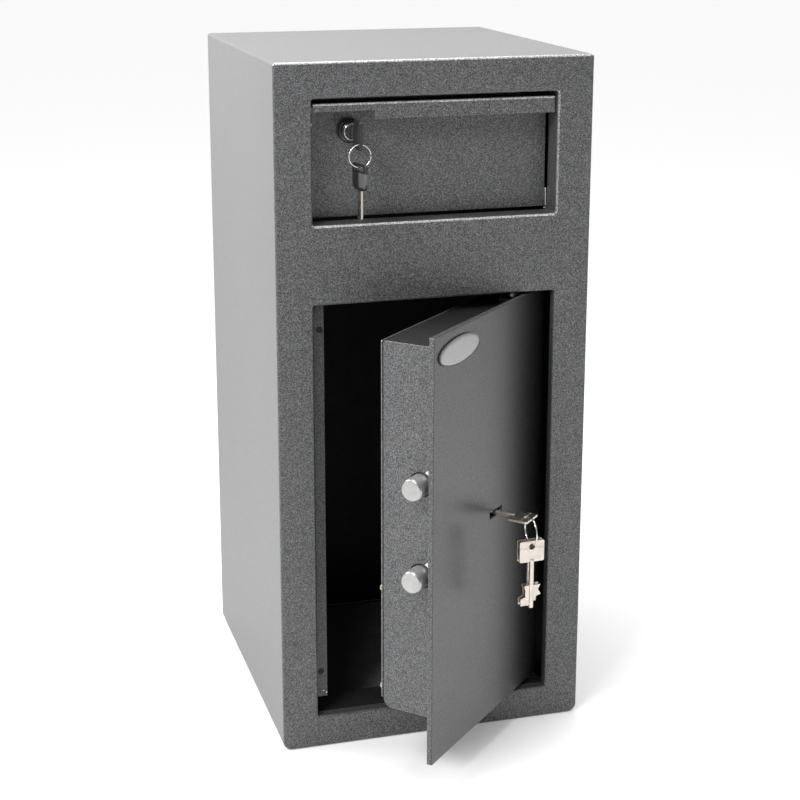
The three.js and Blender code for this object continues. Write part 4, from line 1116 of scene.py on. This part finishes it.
class SAFE_OT_chute(bpy.types.Operator):
    """Finishes the chute, its flap and the mat on the floor"""

    bl_idname = "safe.chute"
    bl_label = "Chute and mat"

    def execute(self, context):
        edges = settings().edges
        rod_cut = across(ROD_HEIGHT)
        for node in ("chute_cheek_left", "chute_cheek_right", "chute_back", "chute_apron"):
            rounded_copy("dressed_" + node, node, "safe_body", "inner_paint", edges.sheet_radius * 0.6,
                         cuts=rod_cut)
        rounded_copy("flap", "sweeper_flap", "flap", "zinc", edges.plated_radius,
                     cuts=rod_cut)
        rounded_copy("stop_bar", "flap_stop_bar", "safe_body", "zinc", edges.plated_radius * 2)
        rounded_copy("felt_mat", "floor_mat", "safe_body", "felt", 0.0012,
                     cuts=across(-BASE_HOLE_SIDE, BASE_HOLE_SIDE, axis=0))
        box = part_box("flap_rod")
        middle = (box[0] + box[1]) / 2
        length = box[1].x - box[0].x
        radius = (box[1].z - box[0].z) / 2
        bm = bmesh.new()
        place = Matrix.Translation((box[0].x, middle.y, middle.z)) @ turn_about("Y", 90)
        turned(bm, eased([(0, 0), (radius, 0), (radius, length), (0, length)], 0.0006), place, 32)
        sharpen(bm)
        add_piece("pivot_rod", bm, "turned_steel", "safe_body", ["flap_rod"])
        return {"FINISHED"}


# Drawer


def ribbon(bm, line, width, front, back):
    """A bent strip along (x, z) points, between two depths."""
    loops = []
    for index, point in enumerate(line):
        before = Vector(line[max(index - 1, 0)])
        after = Vector(line[min(index + 1, len(line) - 1)])
        along = (after - before).normalized()
        sideways = Vector((-along.y, along.x)) * width / 2
        left = Vector(point) + sideways
        right = Vector(point) - sideways
        corners = ((left, front), (right, front), (right, back), (left, back))
        loops.append([bm.verts.new((x, y, z)) for (x, z), y in corners])
    prism(bm, loops)


# Lines of the slides' curled ends on the right, as (x, z) in millimetres
SLIDE_END_LINES = (
    ((133.5, 618.3), (133.9, 612), (133.9, 603.5), (134.5, 598.6)),
    ((131.6, 596.4), (134.4, 596.5)),
)


class SAFE_OT_drawer(bpy.types.Operator):
    """Makes the drawer's panel, pull lip, tray and slides"""

    bl_idname = "safe.drawer"
    bl_label = "Drawer"

    def execute(self, context):
        edges = settings().edges
        rounded_copy("panel", "drawer_front_panel", "drawer", "hammertone", edges.sheet_radius,
                     cuts=across(LOCK_CENTRE[1]))
        lip = rounded_copy("pull_lip", "drawer_pull_lip", "drawer", "hammertone", edges.sheet_radius)
        # Painted highlight on the lip's upper fold.
        highlight_folds(lip)
        rounded_copy("tray", "drawer_tray", "drawer", "zinc", edges.plated_radius)
        for side in ("left", "right"):
            rounded_copy("fixed_slide_" + side, "slide_outer_" + side, "safe_body", "zinc",
                         edges.plated_radius)
            rounded_copy("drawer_slide_" + side, "slide_inner_" + side, "drawer", "zinc",
                         edges.plated_radius)
        rounded_copy("cam_strike", "drawer_cam_strike", "safe_body", "zinc", edges.plated_radius)
        thickness = 0.0011
        front = behind(0.0289)
        back = behind(0.0297)
        bm = bmesh.new()
        for side in (-1, 1):
            for line in SLIDE_END_LINES:
                ribbon(bm, [(side * x / 1000, z / 1000) for x, z in line], thickness, front, back)
        weigh_edges(bm, full_share)
        # Painted highlight: the curled slide ends take the bright finish instead of zinc.
        ends = add_piece("slide_ends", bm, "bare_metal", "drawer", ())
        round_edges(ends, 0.0003)
        return {"FINISHED"}


def lock_place(distance):
    """A place on the cam lock's axis, with its own upright pointing to the front."""
    return Matrix.Translation((LOCK_CENTRE[0], behind(distance), LOCK_CENTRE[1])) @ turn_about("X", 90)


class SAFE_OT_drawer_lock(bpy.types.Operator):
    """Makes the cam lock in the drawer: housing, bright ring, plug with its keyway, nut and cam"""

    bl_idname = "safe.drawer_lock"
    bl_label = "Drawer lock"

    def execute(self, context):
        bore = 0.0075
        barrel = 0.0093
        face = 0.01075
        flange = 0.013
        lock_cut = across(LOCK_CENTRE[1])
        bm = bmesh.new()
        outline = eased([
            (bore, -0.035), (barrel, -0.035), (barrel, -0.0147), (flange, -0.0147), (flange, -0.0085),
            (flange - 0.0012, -0.0072), (face, -0.007), (face, -0.0006), (face - 0.0008, 0.0),
            (0.0092, 0.0), (0.0088, -0.0005), (0.0079, -0.0005), (bore, -0.0012), (bore, -0.035),
        ], 0.0003, 2)
        turned(bm, outline, lock_place(LOCK_DEPTH), 72)
        bmesh.ops.remove_doubles(bm, verts=bm.verts[:], dist=1e-7)
        bmesh.ops.recalc_face_normals(bm, faces=bm.faces[:])
        sharpen(bm)
        add_piece("lock_housing", bm, "black_enamel", "drawer", ["drawer_lock_housing"])

        bm = bmesh.new()
        bead_radius = 0.0006
        bead = [
            (0.0083 + bead_radius * math.cos(angle), 0.0001 + bead_radius * math.sin(angle))
            for angle in [math.tau * step / 10 for step in range(11)]
        ]
        turned(bm, bead, lock_place(LOCK_DEPTH), 72)
        bmesh.ops.remove_doubles(bm, verts=bm.verts[:], dist=1e-7)
        bmesh.ops.recalc_face_normals(bm, faces=bm.faces[:])
        add_piece("lock_bright_ring", bm, "ring_wire", "drawer", ())

        rounded_copy("lock_plug", "drawer_lock_plug", "drawer_lock", "worn_brass", 0.0003,
                     cuts=lock_cut)
        rounded_copy("lock_nut", "drawer_lock_nut", "drawer", "turned_steel", 0.0004,
                     cuts=lock_cut)
        rounded_copy("lock_cam", "drawer_lock_cam", "drawer_lock", "zinc", 0.0003,
                     cuts=lock_cut)
        rounded_copy("lock_cam_screw", "cam_screw", "drawer_lock", "turned_steel", 0.0004)
        return {"FINISHED"}


class SAFE_OT_drawer_keys(bpy.types.Operator):
    """Makes the two cylinder keys with black heads"""

    bl_idname = "safe.drawer_keys"
    bl_label = "Drawer keys"

    def execute(self, context):
        edges = settings().edges
        for key, body in (("drawer_key", "drawer_lock"), ("spare_key", "spare_key")):
            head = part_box(key + "_head")
            middle = (head[0] + head[1]) / 2
            cuts = across(LOCK_CENTRE[1])
            if body == "spare_key":
                top = head[1].z
                foot = head[0].z
                cuts = across(top - 0.005, top - 0.009, foot + 0.0035) + [(middle, GRIP_FORWARD)]
            grip = rounded_copy(key + "_grip", key + "_head", body, "moulded_plastic",
                                edges.plastic_radius, cuts=cuts)
            # Painted sheen: part of the spare key head's face is lighter grey.
            if body == "spare_key":
                second_finish(grip, "rubbed_plastic", lambda face: (
                    abs(face.normal.z) < 0.1 and abs(face.center.z - middle.z) < 0.006
                    and (face.center - middle).dot(GRIP_FORWARD) > 0
                ))
            rounded_copy(key + "_shank", key + "_blade", body, "nickel", edges.key_radius)
        return {"FINISHED"}


# Door


class SAFE_OT_door(bpy.types.Operator):
    """Makes the door's plate, pan, rear cover, lugs and pins"""

    bl_idname = "safe.door"
    bl_label = "Door"

    def execute(self, context):
        edges = settings().edges
        screw_cuts = across(*SCREW_HEIGHTS)
        plate = rounded_copy("door_face", "door_plate", "door", "door_face_paint",
                             edges.sheet_radius * 1.3, cuts=across(KEYHOLE_HEIGHT))
        outward = door_turn().to_3x3() @ Vector((0, -1, 0))
        second_finish(plate, "hammertone", lambda face: face.normal.dot(outward) < 0.9)
        pan = rounded_copy("pan", "door_pan", "door", "hammertone", edges.sheet_radius * 0.7,
                           cuts=screw_cuts + across(*BOLT_HEIGHTS))
        # Painted highlight on the pan's upward folds; its top faces then get painted shade.
        highlight_folds(pan, finish_name="faint_edge_paint")
        # Painted shade: the pan's upward faces take the darker door paint.
        second_finish(pan, "door_face_paint", lambda face: face.normal.z > FLAT)
        cover = rounded_copy("rear_cover", "door_back_cover", "door", "hammertone",
                             edges.sheet_radius * 0.7, cuts=screw_cuts)
        squared = door_turn().to_3x3().transposed()
        # Painted highlight on the cover's rounded edges.
        highlight_folds(
            cover, lambda face: max(abs(part) for part in squared @ face.normal) < FLAT, "faint_edge_paint",
        )
        for end in ("lower", "upper"):
            rounded_copy("lug_" + end, "hinge_lug_" + end, "door", "inner_paint", edges.sheet_radius,
                         cuts=across(HINGE.x, axis=0))
            rounded_copy("hinge_pin_" + end, "pivot_pin_" + end, "door", "turned_steel",
                         edges.plated_radius * 2)
        return {"FINISHED"}


class SAFE_OT_badge(bpy.types.Operator):
    """Makes the oval badge: a dark rim round a bare silver field"""

    bl_idname = "safe.badge"
    bl_label = "Badge"

    def execute(self, context):
        centre = Vector((-0.0758, behind(0.0037), 0.4828))
        half_width = 0.045
        half_height = 0.015
        place = door_turn() @ Matrix.Translation(centre) @ turn_about("X", 90)
        profiles = {
            "badge_rim_band": (
                "badge_rim",
                [(0.0, 0.0), (0.0, 0.0012), (-0.0002, 0.0015), (-0.0013, 0.0016), (-0.0016, 0.0014),
                 (-0.0016, 0.0)],
            ),
            "badge_field": (
                "badge_silver",
                [(-0.0017, 0.0), (-0.0017, 0.0011), (-0.0021, 0.00135), (-0.006, 0.0015),
                 (-0.0149, 0.00156)],
            ),
        }
        steps = 96
        for name, (finish_name, profile) in profiles.items():
            bm = bmesh.new()
            rings = [
                oval_loop(bm, place, half_width + inset, half_height + inset, rise, steps)
                for inset, rise in profile
            ]
            closed = rings + [rings[0]] if name == "badge_rim_band" else rings
            for low, high in zip(closed, closed[1:]):
                for step in range(steps):
                    after = (step + 1) % steps
                    bm.faces.new((low[step], low[after], high[after], high[step]))
            if closed is rings:
                bm.faces.new(rings[-1])
                bm.faces.new(rings[0][::-1])
            bmesh.ops.recalc_face_normals(bm, faces=bm.faces[:])
            for face in bm.faces:
                face.smooth = True
            sharpen(bm, math.radians(50))
            replaced = ["badge_plate"] if name == "badge_field" else []
            add_piece(name, bm, finish_name, "door", replaced)
        return {"FINISHED"}


class SAFE_OT_cover_screws(bpy.types.Operator):
    """Sets the four screws on the door's rear cover"""

    bl_idname = "safe.cover_screws"
    bl_label = "Cover screws"

    def execute(self, context):
        locks = settings().locks
        points = bpy.data.meshes.new("screw_points")
        sides = (-COVER_SCREW_SIDE, COVER_SCREW_SIDE)
        points.from_pydata([(x, z, 0) for x in sides for z in SCREW_HEIGHTS], [], [])
        mesh = set_screws("cover_screws", points, locks.screw_head_radius, locks.screw_head_height, 7,
                          "yellow_zinc")
        turn = Matrix(((-1, 0, 0, 0), (0, 0, 1, 0), (0, 1, 0, 0), (0, 0, 0, 1)))
        mesh.transform(door_turn() @ Matrix.Translation((0, behind(COVER_DEPTH), 0)) @ turn)
        nodes = [f"cover_screw_{number}" for number in range(1, 5)]
        piece_from_mesh("cover_screws", mesh, "yellow_zinc", "door", nodes)
        return {"FINISHED"}


class SAFE_OT_boltwork(bpy.types.Operator):
    """Makes the two round bolts, their guides and bar, and the lock case"""

    bl_idname = "safe.boltwork"
    bl_label = "Boltwork"

    def execute(self, context):
        edges = settings().edges
        radius = settings().locks.bolt_radius
        chamfer = settings().locks.bolt_chamfer
        tip = 0.137
        tail = 0.0703
        for node, height in zip(("bolt_lower", "bolt_upper"), BOLT_HEIGHTS):
            bm = bmesh.new()
            outline = eased([
                (0, tail), (radius, tail), (radius, tip - chamfer), (radius - chamfer * 0.9, tip), (0, tip),
            ], 0.0004)
            turned(bm, outline, bolt_place(height), 72)
            sharpen(bm)
            bolt = add_piece("round_" + node, bm, "turned_steel", "boltwork", [node])
            second_finish(bolt, "rough_steel", lambda face: abs(face.normal.dot(BOLT_AXIS)) < 0.3)
            rounded_copy(node.replace("bolt", "guide"), node.replace("bolt", "bolt_guide"), "door",
                         "inner_paint", 0.0005, cuts=across(height))
        bm = bmesh.new()
        for height in BOLT_HEIGHTS:
            spot = (PAN_SIDE, behind(0.0168), height + 0.0136)
            scraped_patch(bm, door_turn() @ patch_place(spot, (-1, 0, 0)))
        for x, z, width in ((0.0052, 0.2812, 0.3), (0.0250, 0.2765, 0.2)):
            scraped_patch(bm, door_turn() @ patch_place((x, behind(0.004), z), (0, -1, 0)), width, 0.25)
        add_piece("scraped_patches", bm, "bare_metal", "door", ())
        rounded_copy("draw_bar", "bolt_bar", "boltwork", "zinc", 0.0004)
        rounded_copy("lock_case", "door_lock_case", "door", "zinc", edges.plated_radius,
                     cuts=across(KEYHOLE_HEIGHT))
        return {"FINISHED"}


# Door keys and rings


def ring_place():
    """The hole in the bow of the key in the open door, turned the way that its ring hangs."""
    return door_turn() @ Matrix.Translation(BOW_HOLE) @ Matrix.Rotation(RING_YAW, 4, "Z")


def bow_ribs(bm, place):
    """Two fine ribs across each face of a key's bow, on both sides of its hole."""
    half_thickness = 0.0012
    half_rib = 0.0003
    root = 0.0002
    crest = 0.00025
    for side in (-1, 1):
        for height in (-0.0012, -0.0024):
            low = height - half_rib
            high = height + half_rib
            face = side * half_thickness
            section = (
                (low, face - side * root), (low, face + side * crest),
                (high, face + side * crest), (high, face - side * root),
            )
            for ends in ((-0.0142, -0.0044), (0.0044, 0.0142)):
                prism(bm, [
                    [bm.verts.new(place @ Vector((x, rise, z))) for z, rise in section]
                    for x in ends
                ])


class SAFE_OT_door_keys(bpy.types.Operator):
    """Makes the three double-bit keys: one in the door and two on its ring"""

    bl_idname = "safe.door_keys"
    bl_label = "Door keys"

    def execute(self, context):
        edges = settings().edges
        reach = settings().locks.ring_radius
        forward = reach * math.cos(RING_DROP)
        hang = -reach * math.sin(RING_DROP) - reach - BELOW_RING
        places = {
            "door_key": ("door_key", door_turn() @ Matrix.Translation(BOW_HOLE) @ turn_about("X", 90)),
        }
        for end, offset in (("front", 0.003), ("rear", -0.003)):
            moved = ring_place() @ Matrix.Translation((forward + offset, 0, hang))
            places["hanging_key_" + end] = (end + "_hanging_key", moved @ turn_about("Z", 90))
        for node, (body, place) in places.items():
            middle = place.translation
            square = place.to_3x3() @ Vector((1, 0, 0))
            rounded_copy(node + "_blank", node, body, "nickel", edges.key_radius,
                         cuts=[(middle, square)])
            bm = bmesh.new()
            bow_ribs(bm, place)
            add_piece(node + "_ribs", bm, "nickel", body, ())
        return {"FINISHED"}


class SAFE_OT_key_rings(bpy.types.Operator):
    """Winds the split ring on the door key and the fine ring on the drawer key"""

    bl_idname = "safe.key_rings"
    bl_label = "Key rings"

    def execute(self, context):
        locks = settings().locks
        tree = split_ring_tree()
        reach = locks.ring_radius
        large_place = (
            ring_place()
            @ Matrix.Translation((reach * math.cos(RING_DROP), 0, -reach * math.sin(RING_DROP)))
            @ turn_about("X", 90)
        )
        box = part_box("drawer_key_ring")
        small_place = Matrix.Translation((box[0] + box[1]) / 2) @ turn_about("X", 90)
        rings = (
            ("door_key_ring", "split_ring_large", "door_ring", large_place, locks.ring_radius,
             locks.ring_wire, 1.92, locks.ring_wire),
            ("drawer_key_ring", "split_ring_small", "drawer_ring", small_place, locks.small_ring_radius,
             locks.small_ring_wire, 0.985, 0.0002),
        )
        for node, name, body, place, radius, wire, turns, pitch in rings:
            mesh = grown_mesh(name, bpy.data.meshes.new(name + "_seed"), tree, {
                "Ring Radius": radius, "Wire Radius": wire, "Turns": turns, "Pitch": pitch, "Steps": 96,
                "Finish": finish("ring_wire"),
            })
            mesh.transform(place)
            piece_from_mesh(name, mesh, "ring_wire", body, [node])
        return {"FINISHED"}


# Stage

FLOOR_REACH = 40
FLOOR_DROP = 0.0004


def soft_light(name, place, aim, size, power, reach=math.pi):
    """A soft light at a place, aimed at a point."""
    lamp = bpy.data.lights.new(name, "AREA")
    lamp.spread = reach
    lamp.shape = "RECTANGLE"
    lamp.size, lamp.size_y = size
    lamp.energy = power
    made = bpy.data.objects.new(name, lamp)
    made.location = place
    made.rotation_euler = (Vector(aim) - Vector(place)).to_track_quat("-Z", "Y").to_euler()
    bpy.context.scene.collection.objects.link(made)


class SAFE_OT_stage(bpy.types.Operator):
    """Sets the pale floor, the soft lights and the camera"""

    bl_idname = "safe.stage"
    bl_label = "Stage"

    def execute(self, context):
        stage = settings().stage
        scene = context.scene
        bm = bmesh.new()
        bmesh.ops.create_grid(bm, x_segments=8, y_segments=8, size=FLOOR_REACH)
        mesh = bpy.data.meshes.new("stage_floor")
        bm.to_mesh(mesh)
        bm.free()
        mesh.transform(Matrix.Translation((0, 0, -FLOOR_DROP)))
        mesh.materials.append(finish("pale_floor"))
        floor = bpy.data.objects.new("stage_floor", mesh)
        scene.collection.objects.link(floor)

        world = bpy.data.worlds.new("studio")
        scene.world = world
        world.use_nodes = True
        tree = world.node_tree
        sky = tree.nodes["Background"]
        sky.inputs["Strength"].default_value = stage.surround
        heading = add_node(tree, "ShaderNodeTexCoord").outputs["Generated"]
        parts = add_node(tree, "ShaderNodeSeparateXYZ", inputs={0: heading}).outputs
        level = spread(tree, parts["Y"], -0.85, -0.1, 0.31, 1.2)
        right = spread(tree, parts["X"], 0.55, 0.9, 1.0, 0.5)
        left = spread(tree, parts["X"], -0.9, -0.5, 0.8, 1.0)
        level = reckon(tree, "MULTIPLY", level, reckon(tree, "MULTIPLY", right, left))
        tree.links.new(level, sky.inputs["Color"])
        scene.view_settings.view_transform = "Standard"

        soft_light("overhead_soft", (-0.1, 0.0, 2.3), (-0.1, 0.01, 0.7), (1.2, 1.2), stage.overhead_power)
        soft_light("front_soft", (-1.3, -1.25, 1.9), (0, -0.1, 0.45), (0.9, 0.6), stage.front_power)
        soft_light("left_soft", (-1.1, 0.25, 1.2), (-0.17, 0.1, 0.78), (0.6, 0.6), stage.side_power,
                   math.radians(80))

        lens = bpy.data.cameras.new("camera")
        lens.sensor_width = 36
        lens.lens = stage.camera_lens
        lens.shift_x = stage.shift_x
        lens.shift_y = stage.shift_y
        camera = bpy.data.objects.new("camera", lens)
        camera.location = stage.camera_place
        camera.rotation_euler = Euler((math.pi / 2 - stage.camera_pitch, 0, -stage.camera_yaw), "XYZ")
        scene.collection.objects.link(camera)
        scene.camera = camera
        return {"FINISHED"}


# Add-on

OPERATORS = (
    SAFE_OT_cabinet, SAFE_OT_chute, SAFE_OT_drawer, SAFE_OT_drawer_lock, SAFE_OT_drawer_keys,
    SAFE_OT_door, SAFE_OT_badge, SAFE_OT_cover_screws, SAFE_OT_boltwork, SAFE_OT_door_keys,
    SAFE_OT_key_rings, SAFE_OT_stage,
)


class SAFE_PT_panel(bpy.types.Panel):
    """Lists the steps that dress the safe, and its settings"""

    bl_idname = "SAFE_PT_panel"
    bl_label = "Drop Safe"
    bl_space_type = "VIEW_3D"
    bl_region_type = "UI"
    bl_category = "Drop Safe"

    def draw(self, context):
        column = self.layout.column(align=True)
        for operator in OPERATORS:
            column.operator(operator.bl_idname)
        for group in ("paint", "metal", "edges", "locks", "stage"):
            box = self.layout.box()
            box.label(text=group.capitalize())
            values = getattr(context.scene.drop_safe, group)
            for name in values.__annotations__:
                box.prop(values, name)


CLASSES = (
    PaintSettings, MetalSettings, EdgeSettings, LockSettings, StageSettings, SafeSettings, *OPERATORS,
    SAFE_PT_panel,
)


def register():
    """Makes the add-on's classes and settings known to Blender."""
    for made in CLASSES:
        bpy.utils.register_class(made)
    bpy.types.Scene.drop_safe = PointerProperty(type=SafeSettings)


def unregister():
    """Takes them away again."""
    del bpy.types.Scene.drop_safe
    for made in reversed(CLASSES):
        bpy.utils.unregister_class(made)


def main():
    """Runs every step in order."""
    register()
    bpy.ops.safe.cabinet()
    bpy.ops.safe.chute()
    bpy.ops.safe.drawer()
    bpy.ops.safe.drawer_lock()
    bpy.ops.safe.drawer_keys()
    bpy.ops.safe.door()
    bpy.ops.safe.badge()
    bpy.ops.safe.cover_screws()
    bpy.ops.safe.boltwork()
    bpy.ops.safe.door_keys()
    bpy.ops.safe.key_rings()
    bpy.ops.safe.stage()


if __name__ == "__main__":
    main()
